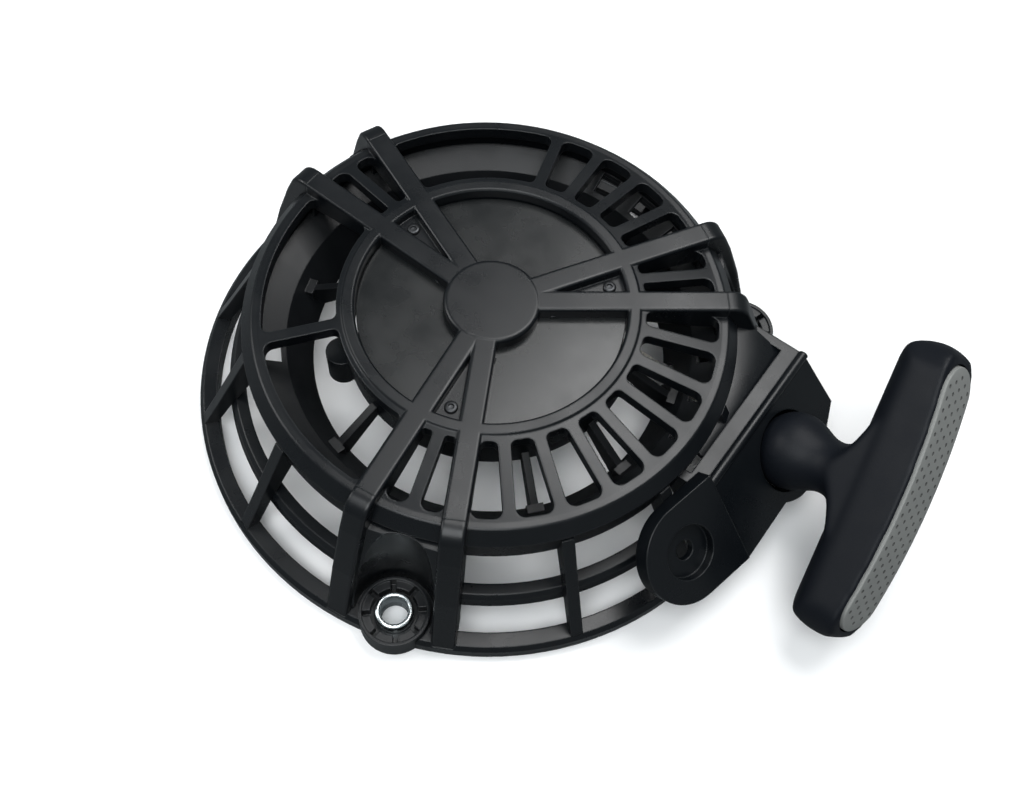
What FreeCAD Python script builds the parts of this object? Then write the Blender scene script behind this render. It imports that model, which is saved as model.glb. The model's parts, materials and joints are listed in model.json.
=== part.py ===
import FreeCAD, Part
import math
import os
import Sketcher

# Recoil starter for a small engine, in millimetres.
# Origin: on the reel's axis, on the plane that the housing's feet and base ring rest on.
# +Z points away from the engine. +X is the direction, seen from above, in which the rope is pulled.
# Azimuths are measured from +X towards +Y.

Vector = FreeCAD.Vector

DIMENSIONS = {
    # crown: hub, arms, rings and grille
    "top_z": 48.0,
    "hub_radius": 14.0,
    "hub_proud": 0.15,
    "arm_width": 6.8,
    "arm_spread": 10.4,
    "arm_edge": 0.9,
    "crease_radius": 72.6,
    "shoulder_reach": 4.4,
    "shoulder_round": 6.0,
    "foot_azimuth": 48.0,
    "ring_inner": 39.2,
    "ring_outer": 43.0,
    "roof_z": 44.0,
    "cup_inner": 40.4,
    "cup_bottom": 31.0,
    "rim_inner": 66.8,
    "rim_outer": 68.4,
    "rim_z": 44.2,
    "lip_radius": 72.0,
    "lip_z": 39.8,
    "skirt_bottom": 30.5,
    "skirt_outer": 71.0,
    "skirt_inner": 68.4,
    "grille_wall": 3.6,
    "slot_inner": 44.4,
    "slot_outer": 65.8,
    "rib_width": 3.4,
    "rib_pitch": 12.4,
    "slot_corner": 2.6,
    "inner_corner": 1.9,
    "narrow_corner": 1.1,
    # centre post and what turns on it
    "post_radius": 8.0,
    "post_shoulder": 15.0,
    "spigot_radius": 5.0,
    "spigot_bottom": 9.2,
    "screw_radius": 2.5,
    "screw_depth": 20.0,
    # cover plate and its screws
    "plate_radius": 38.9,
    "plate_wall": 2.0,
    "boss_radius": 2.8,
    "boss_depth": 4.0,
    "cover_screw_circle": 35.0,
    "cover_screw_radius": 1.1,
    "cover_head_radius": 1.95,
    "cover_head_height": 0.9,
    "cover_socket": 0.75,
    "web_wall": 0.8,
    "web_inner": 16.0,
    # cage: base ring, middle ring and side ribs
    "base_outer": 90.0,
    "base_inner": 84.5,
    "base_height": 5.5,
    "middle_inner": 74.2,
    "middle_outer": 79.4,
    "middle_top": 17.5,
    "middle_bottom": 13.6,
    "side_rib_width": 3.6,
    "side_rib_pitch": 24.8,
    "side_rib_depth": 4.6,
    # feet
    "bolt_circle": 167.0,
    "lug_radius": 10.3,
    "lug_floor": 4.5,
    "lug_top": 7.6,
    "pad_inner": 6.9,
    "pad_outer": 9.3,
    "pad_gap": 1.5,
    "scoop_radius": 11.6,
    "foot_wall_width": 26.0,
    "sleeve_outer": 5.5,
    "sleeve_bore": 4.0,
    "sleeve_height": 9.0,
    # air guide: a shelf under the grille and a funnel inside it
    "shelf_outer": 68.2,
    "shelf_outer_z": 34.8,
    "shelf_inner": 60.2,
    "shelf_inner_z": 31.0,
    "funnel_radius": 53.4,
    "funnel_z": 20.0,
    "guide_wall": 1.6,
    "guide_web": 2.2,
    "web_foot": 5.0,
    "web_spread": 28.6,
    "window_inner": 61.8,
    "window_size": 6.0,
    "window_turn": 18.3,
    "open_window_turn": 177.0,
    # boss under the cup
    "cup_boss_circle": 44.4,
    "cup_boss_radius": 4.6,
    "cup_boss_bottom": 22.0,
    "cup_boss_top": 30.0,
    # rope guide bracket
    "strip_inner": 73.2,
    "strip_outer": 79.2,
    "strip_z": 35.0,
    "strip_wall": 3.0,
    "face_bottom_x": 98.65,
    "face_wall": 3.4,
    "face_near": 8.0,
    "face_far": 48.0,
    "face_bead": 1.5,
    "corner_run": 12.0,
    "corner_rise": 8.0,
    "far_wall_inner": 62.0,
    "far_foot_inner": 70.0,
    "far_foot_outer": 76.0,
    "side_wall": 3.0,
    "seat_x": 90.3,
    "seat_y": 24.6,
    "seat_rise": 3.0,
    "seat_radius": 12.5,
    "seat_wall": 3.0,
    "ear_x": 85.2,
    "ear_y": -22.0,
    "ear_z": 28.0,
    "ear_turn": -12.0,
    "ear_radius": 15.0,
    "ear_wall": 5.0,
    "ear_reach": 16.0,
    "ear_hole": 2.9,
    "ear_counterbore": 8.0,
    "ear_counterbore_depth": 2.8,
    # rope
    "rope_radius": 2.0,
    "rope_start_x": 18.0,
    "rope_start_z": 23.6,
    "rope_passage": 3.6,
    "rope_bend": 9.0,
    "bend_depth": 3.4,
    "eyelet_outer": 5.3,
    "eyelet_inner": 4.3,
    "eyelet_length": 5.0,
    "eyelet_lip": 5.8,
    # handle, in its own axes: Z along the pull from the seat, X along the bar
    "pull_rise": 27.5,
    "pull_turn": -8.0,
    "bar_roll": 38.0,
    "bulb_radius": 11.8,
    "neck_radius": 7.9,
    "bar_length": 87.0,
    "bar_width": 19.0,
    "bar_near": 22.0,
    "bar_far": 42.2,
    "bar_corner": 10.0,
    "handle_bore": 2.5,
    "knot_pocket": 6.0,
    "knot_room": 9.4,
    "insert_length": 79.0,
    "insert_width": 16.6,
    "insert_seat": 39.4,
    "insert_top": 43.0,
    "face_bow": 233.0,
    "knot_radius": 4.2,
    "stop_radius": 5.6,
    "stop_height": 1.2,
    # reel
    "reel_bottom": 18.0,
    "reel_top": 29.4,
    "reel_flange": 2.2,
    "reel_outer": 36.0,
    "reel_core": 18.0,
    "reel_hub": 12.6,
    "reel_hub_bottom": 15.4,
    "bush_outer": 9.5,
    "bush_clearance": 0.05,
    "spring_wall_inner": 31.6,
    "spring_wall_outer": 33.6,
    "spring_wall_top": 37.4,
    "winding_outer": 26.9,
    "winding_gap": 0.1,
    "spring_inner": 8.6,
    "spring_outer": 30.4,
    "spring_turns": 9.0,
    "spring_strip": 0.6,
    "spring_bottom": 30.2,
    "spring_width": 6.8,
    # pawls and their drive plate
    "pawl_pin_circle": 19.0,
    "pawl_pin_radius": 2.5,
    "pawl_clearance": 0.06,
    "pawl_boss": 4.3,
    "pawl_bottom": 12.4,
    "pawl_top": 17.6,
    "pawl_reach": 17.0,
    "pawl_drop": 2.2,
    "pawl_tip": 1.6,
    "pawl_point": 2.2,
    "peg_reach": 9.0,
    "peg_drop": 1.0,
    "peg_radius": 1.4,
    "peg_bottom": 9.9,
    "plate_bottom": 9.6,
    "plate_top": 11.8,
    "drive_plate_radius": 22.0,
    "drive_bore": 5.06,
    "cam_slot": 2.4,
    "cam_turn": 28.0,
    "pawl_swing": 30.0,
    "washer_radius": 9.4,
    "washer_bottom": 8.0,
    "screw_head_radius": 6.4,
    "screw_head_bottom": 4.4,
    "screw_socket": 2.6,
    "reel_knot_radius": 3.2,
    "reel_knot_circle": 25.0,
    "friction_bottom": 13.2,
    "friction_top": 14.2,
    "friction_inner": 5.6,
    "friction_outer": 8.4,
    "friction_split": 1.2,
}

doc = FreeCAD.newDocument("RecoilStarter")
sheet = doc.addObject("Spreadsheet::Sheet", "dims")
for row, (alias, number) in enumerate(DIMENSIONS.items(), start=1):
    sheet.set(f"A{row}", alias)
    sheet.set(f"B{row}", str(number))
    sheet.setAlias(f"B{row}", alias)
doc.recompute()


def size(alias):
    """The value of one cell of the sheet."""
    return float(sheet.get(alias))


def number(expression):
    """The value of an expression on the sheet, such as "dims.top_z - 4"."""
    value = sheet.evalExpression(str(expression))
    return float(getattr(value, "Value", value))


def bind(item, bindings):
    """Bind properties of an object to expressions on the sheet."""
    for name, expression in bindings.items():
        item.setExpression(name, str(expression))
    return item


# ---------------------------------------------------------------- building blocks


def profile(name, points):
    """A closed outline in the X-Z plane whose corners are bound to the sheet.

    Each point is a pair of expressions: distance from the axis, and height.
    """
    sketch = doc.addObject("Sketcher::SketchObject", name)
    sketch.Placement = FreeCAD.Placement(Vector(0, 0, 0), FreeCAD.Rotation(Vector(1, 0, 0), 90))
    corners = [Vector(number(across), number(up), 0) for across, up in points]
    for index, corner in enumerate(corners):
        following = corners[(index + 1) % len(corners)]
        sketch.addGeometry(Part.LineSegment(corner, following))
    for index in range(len(corners)):
        following = (index + 1) % len(corners)
        sketch.addConstraint(Sketcher.Constraint("Coincident", index, 2, following, 1))
    for index, expressions in enumerate(points):
        for kind, expression, value in zip(("DistanceX", "DistanceY"), expressions, corners[index]):
            if abs(value) < 1e-9:
                axis = -2 if kind == "DistanceX" else -1
                sketch.addConstraint(Sketcher.Constraint("PointOnObject", index, 1, axis))
                continue
            label = f"{kind}_{index}"
            datum = sketch.addConstraint(Sketcher.Constraint(kind, -1, 1, index, 1, value))
            sketch.renameConstraint(datum, label)
            sketch.setExpression(f"Constraints.{label}", str(expression))
    return sketch


def revolved(name, points):
    """A ring or disc: a profile turned once round the Z axis."""
    solid = doc.addObject("Part::Revolution", name)
    solid.Source = profile(f"{name}_profile", points)
    solid.Axis = Vector(0, 0, 1)
    solid.Angle = 360
    solid.Solid = True
    return solid


def slab(name, outline, width, azimuth="0"):
    """A radial slab: an outline in the X-Z plane thickened evenly and turned to an azimuth."""
    solid = doc.addObject("Part::Extrusion", name)
    solid.Base = outline
    solid.DirMode = "Custom"
    solid.Dir = Vector(0, 1, 0)
    solid.Solid = True
    solid.Symmetric = True
    solid.Placement = FreeCAD.Placement(Vector(0, 0, 0), FreeCAD.Rotation(Vector(0, 0, 1), 1))
    bind(solid, {"LengthFwd": width, "Placement.Rotation.Angle": azimuth})
    return solid


def panel(name, outline, near, far):
    """An outline in the X-Z plane pulled along Y, by near towards -Y and by far towards +Y."""
    solid = doc.addObject("Part::Extrusion", name)
    solid.Base = outline
    solid.DirMode = "Custom"
    solid.Dir = Vector(0, 1, 0)
    solid.Solid = True
    bind(solid, {"LengthFwd": far, "LengthRev": near})
    return solid


def cylinder(name, radius, bottom, top, across="0", along="0"):
    """A cylinder on an upright axis, from one height to another."""
    solid = doc.addObject("Part::Cylinder", name)
    return bind(solid, {
        "Radius": radius,
        "Height": f"({top}) - ({bottom})",
        "Placement.Base.x": across,
        "Placement.Base.y": along,
        "Placement.Base.z": bottom,
    })


def sphere(name, radius, across="0", along="0", up="0"):
    """A ball at a point."""
    solid = doc.addObject("Part::Sphere", name)
    return bind(solid, {
        "Radius": radius,
        "Placement.Base.x": across,
        "Placement.Base.y": along,
        "Placement.Base.z": up,
    })


def box(name, length, width, height, across, along, up):
    """A block given by its sizes and its lowest corner."""
    solid = doc.addObject("Part::Box", name)
    return bind(solid, {
        "Length": length,
        "Width": width,
        "Height": height,
        "Placement.Base.x": across,
        "Placement.Base.y": along,
        "Placement.Base.z": up,
    })


def joined(name, pieces):
    """The union of several solids."""
    solid = doc.addObject("Part::MultiFuse", name)
    solid.Shapes = pieces
    solid.Refine = True
    return solid


def cut(name, base, tool):
    """One solid less another."""
    solid = doc.addObject("Part::Cut", name)
    solid.Base = base
    solid.Tool = tool
    solid.Refine = True
    return solid


def common(name, base, tool):
    """What two solids share."""
    solid = doc.addObject("Part::Common", name)
    solid.Base = base
    solid.Tool = tool
    solid.Refine = True
    return solid


def group(name, pieces):
    """Separate solids kept together as one object."""
    solid = doc.addObject("Part::Compound", name)
    solid.Links = pieces
    return solid


def rounded(name, base, radius_of):
    """Round the edges of a solid; radius_of gives each edge's radius, or nothing."""
    doc.recompute()
    edges = []
    for index, edge in enumerate(base.Shape.Edges, start=1):
        radius = radius_of(edge)
        if radius:
            edges.append((index, radius, radius))
    solid = doc.addObject("Part::Fillet", name)
    solid.Base = base
    solid.Edges = edges
    return solid


def computed(name, shape, placement=None):
    """An object whose shape is worked out here."""
    solid = doc.addObject("Part::Feature", name)
    solid.Shape = shape
    if placement is not None:
        solid.Placement = placement
    return solid


def turned_copies(name, source, azimuths):
    """Copies of one object, turned about the Z axis."""
    doc.recompute()
    copies = []
    for azimuth in azimuths:
        copy = source.Shape.copy()
        copy.rotate(Vector(0, 0, 0), Vector(0, 0, 1), azimuth)
        copies.append(copy)
    return computed(name, Part.makeCompound(copies))


FOOT_AZIMUTHS = [size("foot_azimuth") + turn for turn in (0, 120, 240)]
ARM_AZIMUTHS = [
    f"dims.foot_azimuth + {turn} {side} dims.arm_spread"
    for turn in (0, 120, 240)
    for side in ("-", "+")
]
ALL_ROUND = 1e-4


# ---------------------------------------------------------------- crown of the housing


def build_grille():
    """The sloping grille, its rim and its skirt, pierced by the air slots."""
    shell = revolved("grille_shell", [
        ("dims.ring_inner", "dims.top_z - 4.5"),
        ("dims.ring_outer", "dims.top_z - 4.5"),
        ("dims.rim_inner", "dims.rim_z - dims.grille_wall - 0.4"),
        ("dims.skirt_inner", "dims.lip_z - 1.2"),
        ("dims.skirt_inner", "dims.skirt_bottom"),
        ("dims.skirt_outer", "dims.skirt_bottom"),
        ("dims.skirt_outer + 0.4", "dims.lip_z - 1"),
        ("dims.lip_radius", "dims.lip_z - 0.4"),
        ("dims.lip_radius", "dims.lip_z + 0.3"),
        ("dims.rim_outer + 0.5", "dims.rim_z - 0.3"),
        ("dims.rim_outer", "dims.rim_z"),
        ("dims.rim_inner", "dims.rim_z"),
        ("dims.ring_outer", "dims.top_z - 0.6"),
        ("dims.ring_outer - 0.6", "dims.top_z"),
        ("dims.ring_inner + 0.6", "dims.top_z"),
        ("dims.ring_inner", "dims.top_z - 0.6"),
    ])
    band = cut(
        "slot_band",
        cylinder("slot_band_outer", "dims.slot_outer", "dims.skirt_bottom", "dims.top_z + 5"),
        cylinder("slot_band_inner", "dims.slot_inner", "dims.skirt_bottom", "dims.top_z + 5"),
    )
    bar = profile("bar_profile", [
        ("dims.slot_inner - 10", "dims.skirt_bottom - 5"),
        ("dims.slot_outer + 10", "dims.skirt_bottom - 5"),
        ("dims.slot_outer + 10", "dims.top_z + 10"),
        ("dims.slot_inner - 10", "dims.top_z + 10"),
    ])
    ribs_after_arm = [f"dims.foot_azimuth - dims.arm_spread - {step} * dims.rib_pitch" for step in range(1, 8)]
    ribs_after_arm += [f"dims.foot_azimuth + dims.arm_spread + {step} * dims.rib_pitch" for step in range(1, 5)]
    ribs_after_arm += [f"dims.foot_azimuth + {turn}" for turn in (0, 120, 240)]
    ribs_after_arm.append("dims.foot_azimuth + 179")
    bars = [
        slab(f"rib_bar_{index}", bar, "dims.rib_width", azimuth)
        for index, azimuth in enumerate(ribs_after_arm)
    ]
    bars += [
        slab(f"arm_bar_{index}", bar, "dims.arm_width", azimuth)
        for index, azimuth in enumerate(ARM_AZIMUTHS)
    ]
    slots = cut("slot_blanks", band, joined("slot_bars", bars))

    def corner_radius(edge):
        """Upright corners are rounded, less so in the narrow slots between paired arms."""
        if len(edge.Vertexes) != 2:
            return 0
        start, end = (vertex.Point for vertex in edge.Vertexes)
        if math.hypot(start.x - end.x, start.y - end.y) > ALL_ROUND:
            return 0
        azimuth = math.degrees(math.atan2(start.y, start.x))
        from_foot = (azimuth - size("foot_azimuth") + 60) % 120 - 60
        narrow = abs(from_foot) < size("arm_spread")
        near_ring = math.hypot(start.x, start.y) < size("slot_inner") + 1
        if near_ring:
            return size("narrow_corner") if narrow else size("inner_corner")
        return size("slot_corner")

    return cut("grille", shell, rounded("slots", slots, corner_radius))


def build_arms():
    """Six flat arms in three pairs, from the hub out to the crease."""
    outline = profile("arm_profile", [
        ("2", "dims.roof_z"),
        ("dims.ring_inner", "dims.roof_z"),
        ("dims.ring_outer", "dims.top_z - 6"),
        ("dims.skirt_inner - 1", "dims.rim_z - 6"),
        ("dims.crease_radius - dims.shoulder_reach", "dims.rim_z - 6"),
        ("dims.crease_radius - dims.shoulder_reach", "dims.top_z"),
        ("2", "dims.top_z"),
    ])
    arms = []
    for index, azimuth in enumerate(ARM_AZIMUTHS):
        arm = slab(f"arm_blank_{index}", outline, "dims.arm_width", azimuth)

        def long_top_edge(edge):
            """Only the two long edges of the arm's top face are rounded."""
            on_top = all(abs(vertex.Point.z - size("top_z")) < ALL_ROUND for vertex in edge.Vertexes)
            return size("arm_edge") if on_top and edge.Length > size("ring_inner") else 0

        arms.append(rounded(f"arm_{index}", arm, long_top_edge))
    return arms


def build_webs():
    """Small webs that close the narrow end of each pair of arms, each with a screw hole."""
    outline = profile("web_profile", [
        ("dims.web_inner", "dims.roof_z"),
        ("dims.ring_inner + 0.5", "dims.roof_z"),
        ("dims.ring_inner + 0.5", "dims.roof_z + dims.web_wall"),
        ("dims.web_inner", "dims.roof_z + dims.web_wall"),
    ])
    return [
        slab(f"web_{turn}", outline, "dims.arm_width * 2", f"dims.foot_azimuth + {turn}")
        for turn in (0, 120, 240)
    ]


def build_crown():
    """The top of the housing: hub, arms, ring, cup, grille, skirt and centre post."""
    hub_blank = cylinder("hub_blank", "dims.hub_radius", "dims.roof_z", "dims.top_z + dims.hub_proud")
    hub = rounded("hub", hub_blank, lambda edge: 1.2 if edge.BoundBox.ZMin > size("top_z") else 0)
    cup = cut(
        "cup",
        cylinder("cup_outer", "dims.ring_outer", "dims.cup_bottom", "dims.top_z - 4"),
        cylinder("cup_hollow", "dims.cup_inner", "dims.cup_bottom", "dims.top_z - 4"),
    )
    post = cylinder("post", "dims.post_radius", "dims.post_shoulder", "dims.top_z - 1")
    spigot = cylinder("spigot", "dims.spigot_radius", "dims.spigot_bottom", "dims.top_z - 1")
    azimuth = "(dims.foot_azimuth + 180)"
    cup_boss = cylinder(
        "cup_boss", "dims.cup_boss_radius", "dims.cup_boss_bottom", "dims.cup_boss_top + 3",
        f"dims.cup_boss_circle * cos({azimuth} * 1 deg)", f"dims.cup_boss_circle * sin({azimuth} * 1 deg)",
    )
    solid = joined("crown_solid", [build_grille(), hub, cup, post, spigot, cup_boss] + build_arms() + build_webs())
    holes = [cylinder(
        "post_hole", "dims.screw_radius", "dims.spigot_bottom - 1", "dims.spigot_bottom + dims.screw_depth",
    )]
    for azimuth in FOOT_AZIMUTHS:
        hole = cylinder(
            f"web_hole_{azimuth:.0f}", "dims.cover_screw_radius", "dims.roof_z - 1", "dims.top_z",
            f"dims.cover_screw_circle * cos({azimuth} * 1 deg)",
            f"dims.cover_screw_circle * sin({azimuth} * 1 deg)",
        )
        holes.append(hole)
    return cut("housing_crown", solid, joined("crown_holes", holes))


# ---------------------------------------------------------------- feet and cage


def build_foot_blank():
    """One foot at azimuth 0: two legs, the wall between them and the bolt lug."""
    leg_outline = profile("leg_profile", [
        ("dims.skirt_inner - 2", "dims.skirt_bottom"),
        ("dims.skirt_inner - 2", "dims.top_z"),
        ("dims.crease_radius + 0.6", "dims.top_z"),
        ("dims.crease_radius + 5", "dims.top_z - 9.5"),
        ("dims.crease_radius + 11", "dims.top_z - 25"),
        ("dims.base_outer - 0.4", "dims.base_height - 1"),
        ("dims.base_outer - 0.4", "0"),
        ("dims.base_inner - 5.5", "0"),
        ("dims.base_inner - 5.5", "dims.base_height"),
        ("dims.middle_inner - 1.2", "dims.middle_bottom - 1.5"),
    ])

    def shoulder(edge):
        """The one level edge where the leg's top turns down."""
        at_corner = [
            abs(vertex.Point.z - size("top_z")) < ALL_ROUND
            and abs(vertex.Point.x - size("crease_radius") - 0.6) < ALL_ROUND
            for vertex in edge.Vertexes
        ]
        return size("shoulder_round") if all(at_corner) else 0

    def outer_edge(edge):
        """The two long edges of the leg's top and outer face."""
        middle = edge.CenterOfMass
        beside = abs(abs(middle.y) - size("arm_width") / 2) < ALL_ROUND
        outside = middle.x > size("crease_radius") + (size("top_z") - middle.z) * 0.3 - 5
        return size("arm_edge") if beside and outside and middle.z > size("base_height") + 1 else 0

    leg_blank = rounded("leg_shouldered", slab("leg_blank", leg_outline, "dims.arm_width"), shoulder)
    leg = rounded("leg", leg_blank, outer_edge)
    legs = [
        turned_copies("leg_low", leg, [-size("arm_spread")]),
        turned_copies("leg_high", leg, [size("arm_spread")]),
    ]
    wall_outline = profile("wall_profile", [
        ("dims.skirt_inner - 0.5", "dims.skirt_bottom"),
        ("dims.skirt_outer - 1", "dims.skirt_bottom"),
        ("dims.skirt_outer", "dims.lip_z - 1.5"),
        ("dims.skirt_outer + 2.4", "dims.lip_z - 1.5"),
        ("dims.skirt_outer + 8", "dims.skirt_bottom - 6"),
        ("dims.base_inner + 1", "dims.lug_top"),
        ("dims.base_inner + 1", "0"),
        ("dims.middle_inner - 4.6", "0"),
        ("dims.middle_inner - 5", "dims.skirt_bottom - 8"),
    ])
    wall = slab("foot_wall", wall_outline, "dims.foot_wall_width")
    lug_x = "dims.bolt_circle / 2"
    scoop = cylinder("scoop", "dims.scoop_radius", "dims.lug_floor", "dims.top_z", lug_x)
    floor = cylinder("lug_floor_disc", "dims.lug_radius", "0", "dims.lug_floor", lug_x)
    rim = cut(
        "lug_rim",
        cylinder("lug_rim_outer", "dims.lug_radius", "0", "dims.lug_top + 0.6", lug_x),
        cylinder("lug_rim_inner", "dims.pad_outer", "0", "dims.lug_top + 0.6", lug_x),
    )
    gaps = []
    for index in range(4):
        gap = box(
            f"pad_gap_{index}", "dims.lug_radius * 2", "dims.pad_gap", "dims.top_z",
            "-dims.lug_radius", "-dims.pad_gap / 2", "0",
        )
        spin = FreeCAD.Rotation(Vector(0, 0, 1), 22.5 + 45 * index)
        corner = Vector(-size("lug_radius"), -size("pad_gap") / 2, 0)
        lug_centre = Vector(size("bolt_circle") / 2, 0, 0)
        for direction in ("x", "y", "z"):
            gap.setExpression(f"Placement.Base.{direction}", None)
        gap.Placement = FreeCAD.Placement(lug_centre + spin.multVec(corner), spin)
        gaps.append(gap)
    pads = cut(
        "lug_pads",
        cut(
            "lug_pad_ring",
            cylinder("pad_ring_outer", "dims.pad_outer", "0", "dims.lug_top", lug_x),
            cylinder("pad_ring_inner", "dims.pad_inner", "0", "dims.lug_top", lug_x),
        ),
        joined("pad_gaps", gaps),
    )
    solid = joined("foot_solid", [
        *legs,
        cut("foot_wall_scooped", wall, scoop),
        floor,
        rim,
        pads,
    ])
    bore = cylinder("sleeve_hole", "dims.sleeve_outer", "-1", "dims.top_z", lug_x)
    return cut("foot_blank", solid, bore)


def build_feet(crown):
    """The three feet, one on each pair of arms."""
    blanks = turned_copies("foot_blanks", build_foot_blank(), FOOT_AZIMUTHS)
    return cut("housing_feet", blanks, crown)


def build_cage(crown, feet):
    """The open side: base ring and middle ring, and the ribs that carry them."""
    base_ring = revolved("base_ring", [
        ("dims.base_inner", "0"),
        ("dims.base_outer", "0"),
        ("dims.base_outer", "dims.base_height - 1.4"),
        ("dims.base_outer - 1.2", "dims.base_height"),
        ("dims.base_inner", "dims.base_height"),
    ])
    middle_ring = revolved("middle_ring", [
        ("dims.middle_inner + 2", "dims.middle_bottom"),
        ("dims.middle_outer", "dims.middle_bottom"),
        ("dims.middle_outer - 0.8", "dims.middle_top - 1.2"),
        ("dims.middle_outer - 2", "dims.middle_top"),
        ("dims.middle_inner", "dims.middle_top"),
        ("dims.middle_inner", "dims.middle_top - 1.5"),
    ])
    rib_outline = profile("side_rib_profile", [
        ("dims.skirt_inner + 0.2", "dims.skirt_bottom"),
        ("dims.skirt_outer - 1", "dims.skirt_bottom"),
        ("dims.skirt_outer - 1", "dims.lip_z - 2"),
        ("dims.lip_radius + 0.2", "dims.lip_z - 2"),
        ("dims.base_outer - 6", "dims.middle_bottom + 1"),
        ("dims.base_outer - 0.6", "dims.base_height - 1"),
        ("dims.base_outer - 0.6", "0.4"),
        ("dims.base_inner + 0.4", "0.4"),
        ("dims.base_inner + 0.4", "dims.base_height"),
        ("dims.base_outer - 6 - dims.side_rib_depth", "dims.middle_bottom + 1"),
    ])
    first_ribs = ("dims.foot_azimuth - 60", "dims.foot_azimuth + 60", "dims.foot_azimuth + 180")
    ribs = []
    for sector, middle in enumerate(first_ribs):
        for step in (-1, 0, 1):
            azimuth = f"{middle} + {step} * dims.side_rib_pitch"
            ribs.append(slab(f"side_rib_{sector}_{step + 1}", rib_outline, "dims.side_rib_width", azimuth))
    lugs = at_feet("lug_clearance", "dims.lug_radius", "-1", "dims.top_z", "dims.bolt_circle / 2")
    base_clear = cut("base_ring_less_lugs", base_ring, joined("lug_clearances", lugs))
    base_part = cut("housing_base_ring", base_clear, feet)
    scoops = at_feet("scoop_clearance", "dims.scoop_radius", "-1", "dims.top_z", "dims.bolt_circle / 2")
    gaps = scoops + [rope_gap("middle_rope_gap")]
    middle_clear = cut("middle_ring_less_scoops", middle_ring, joined("scoop_clearances", gaps))
    middle_part = cut("housing_middle_ring", middle_clear, feet)
    rib_solid = cut("ribs_less_crown", group("rib_group", ribs), crown)
    rings = joined("cage_rings", [base_ring, middle_ring])
    rib_part = cut("housing_side_ribs", rib_solid, rings)
    return joined("cage", [base_part, middle_part, rib_part])


# ---------------------------------------------------------------- rope guide


def seat_frame():
    """The ball seat's centre, the pull direction and the face's normal."""
    rise, turn = math.radians(size("pull_rise")), math.radians(size("pull_turn"))
    pull = Vector(math.cos(rise) * math.cos(turn), math.cos(rise) * math.sin(turn), math.sin(rise))
    face_sum = size("strip_outer") + size("strip_z")
    origin = Vector(size("seat_x"), size("seat_y"), face_sum - size("seat_x"))
    return origin, pull, origin + pull * size("seat_rise")


def along(direction, point, name, radius, start, end):
    """A cylinder along a direction from a point, between two distances."""
    shape = Part.makeCylinder(radius, end - start, point + direction * start, direction)
    return computed(name, shape)


def rope_gap(name):
    """A round gap along the rope's straight run from the reel to the eyelet."""
    start, bend, _ = rope_route()
    outward = (bend - start).normalize()
    return along(outward, start, name, size("rope_passage"), 0, (bend - start).Length + size("rope_radius"))


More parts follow.
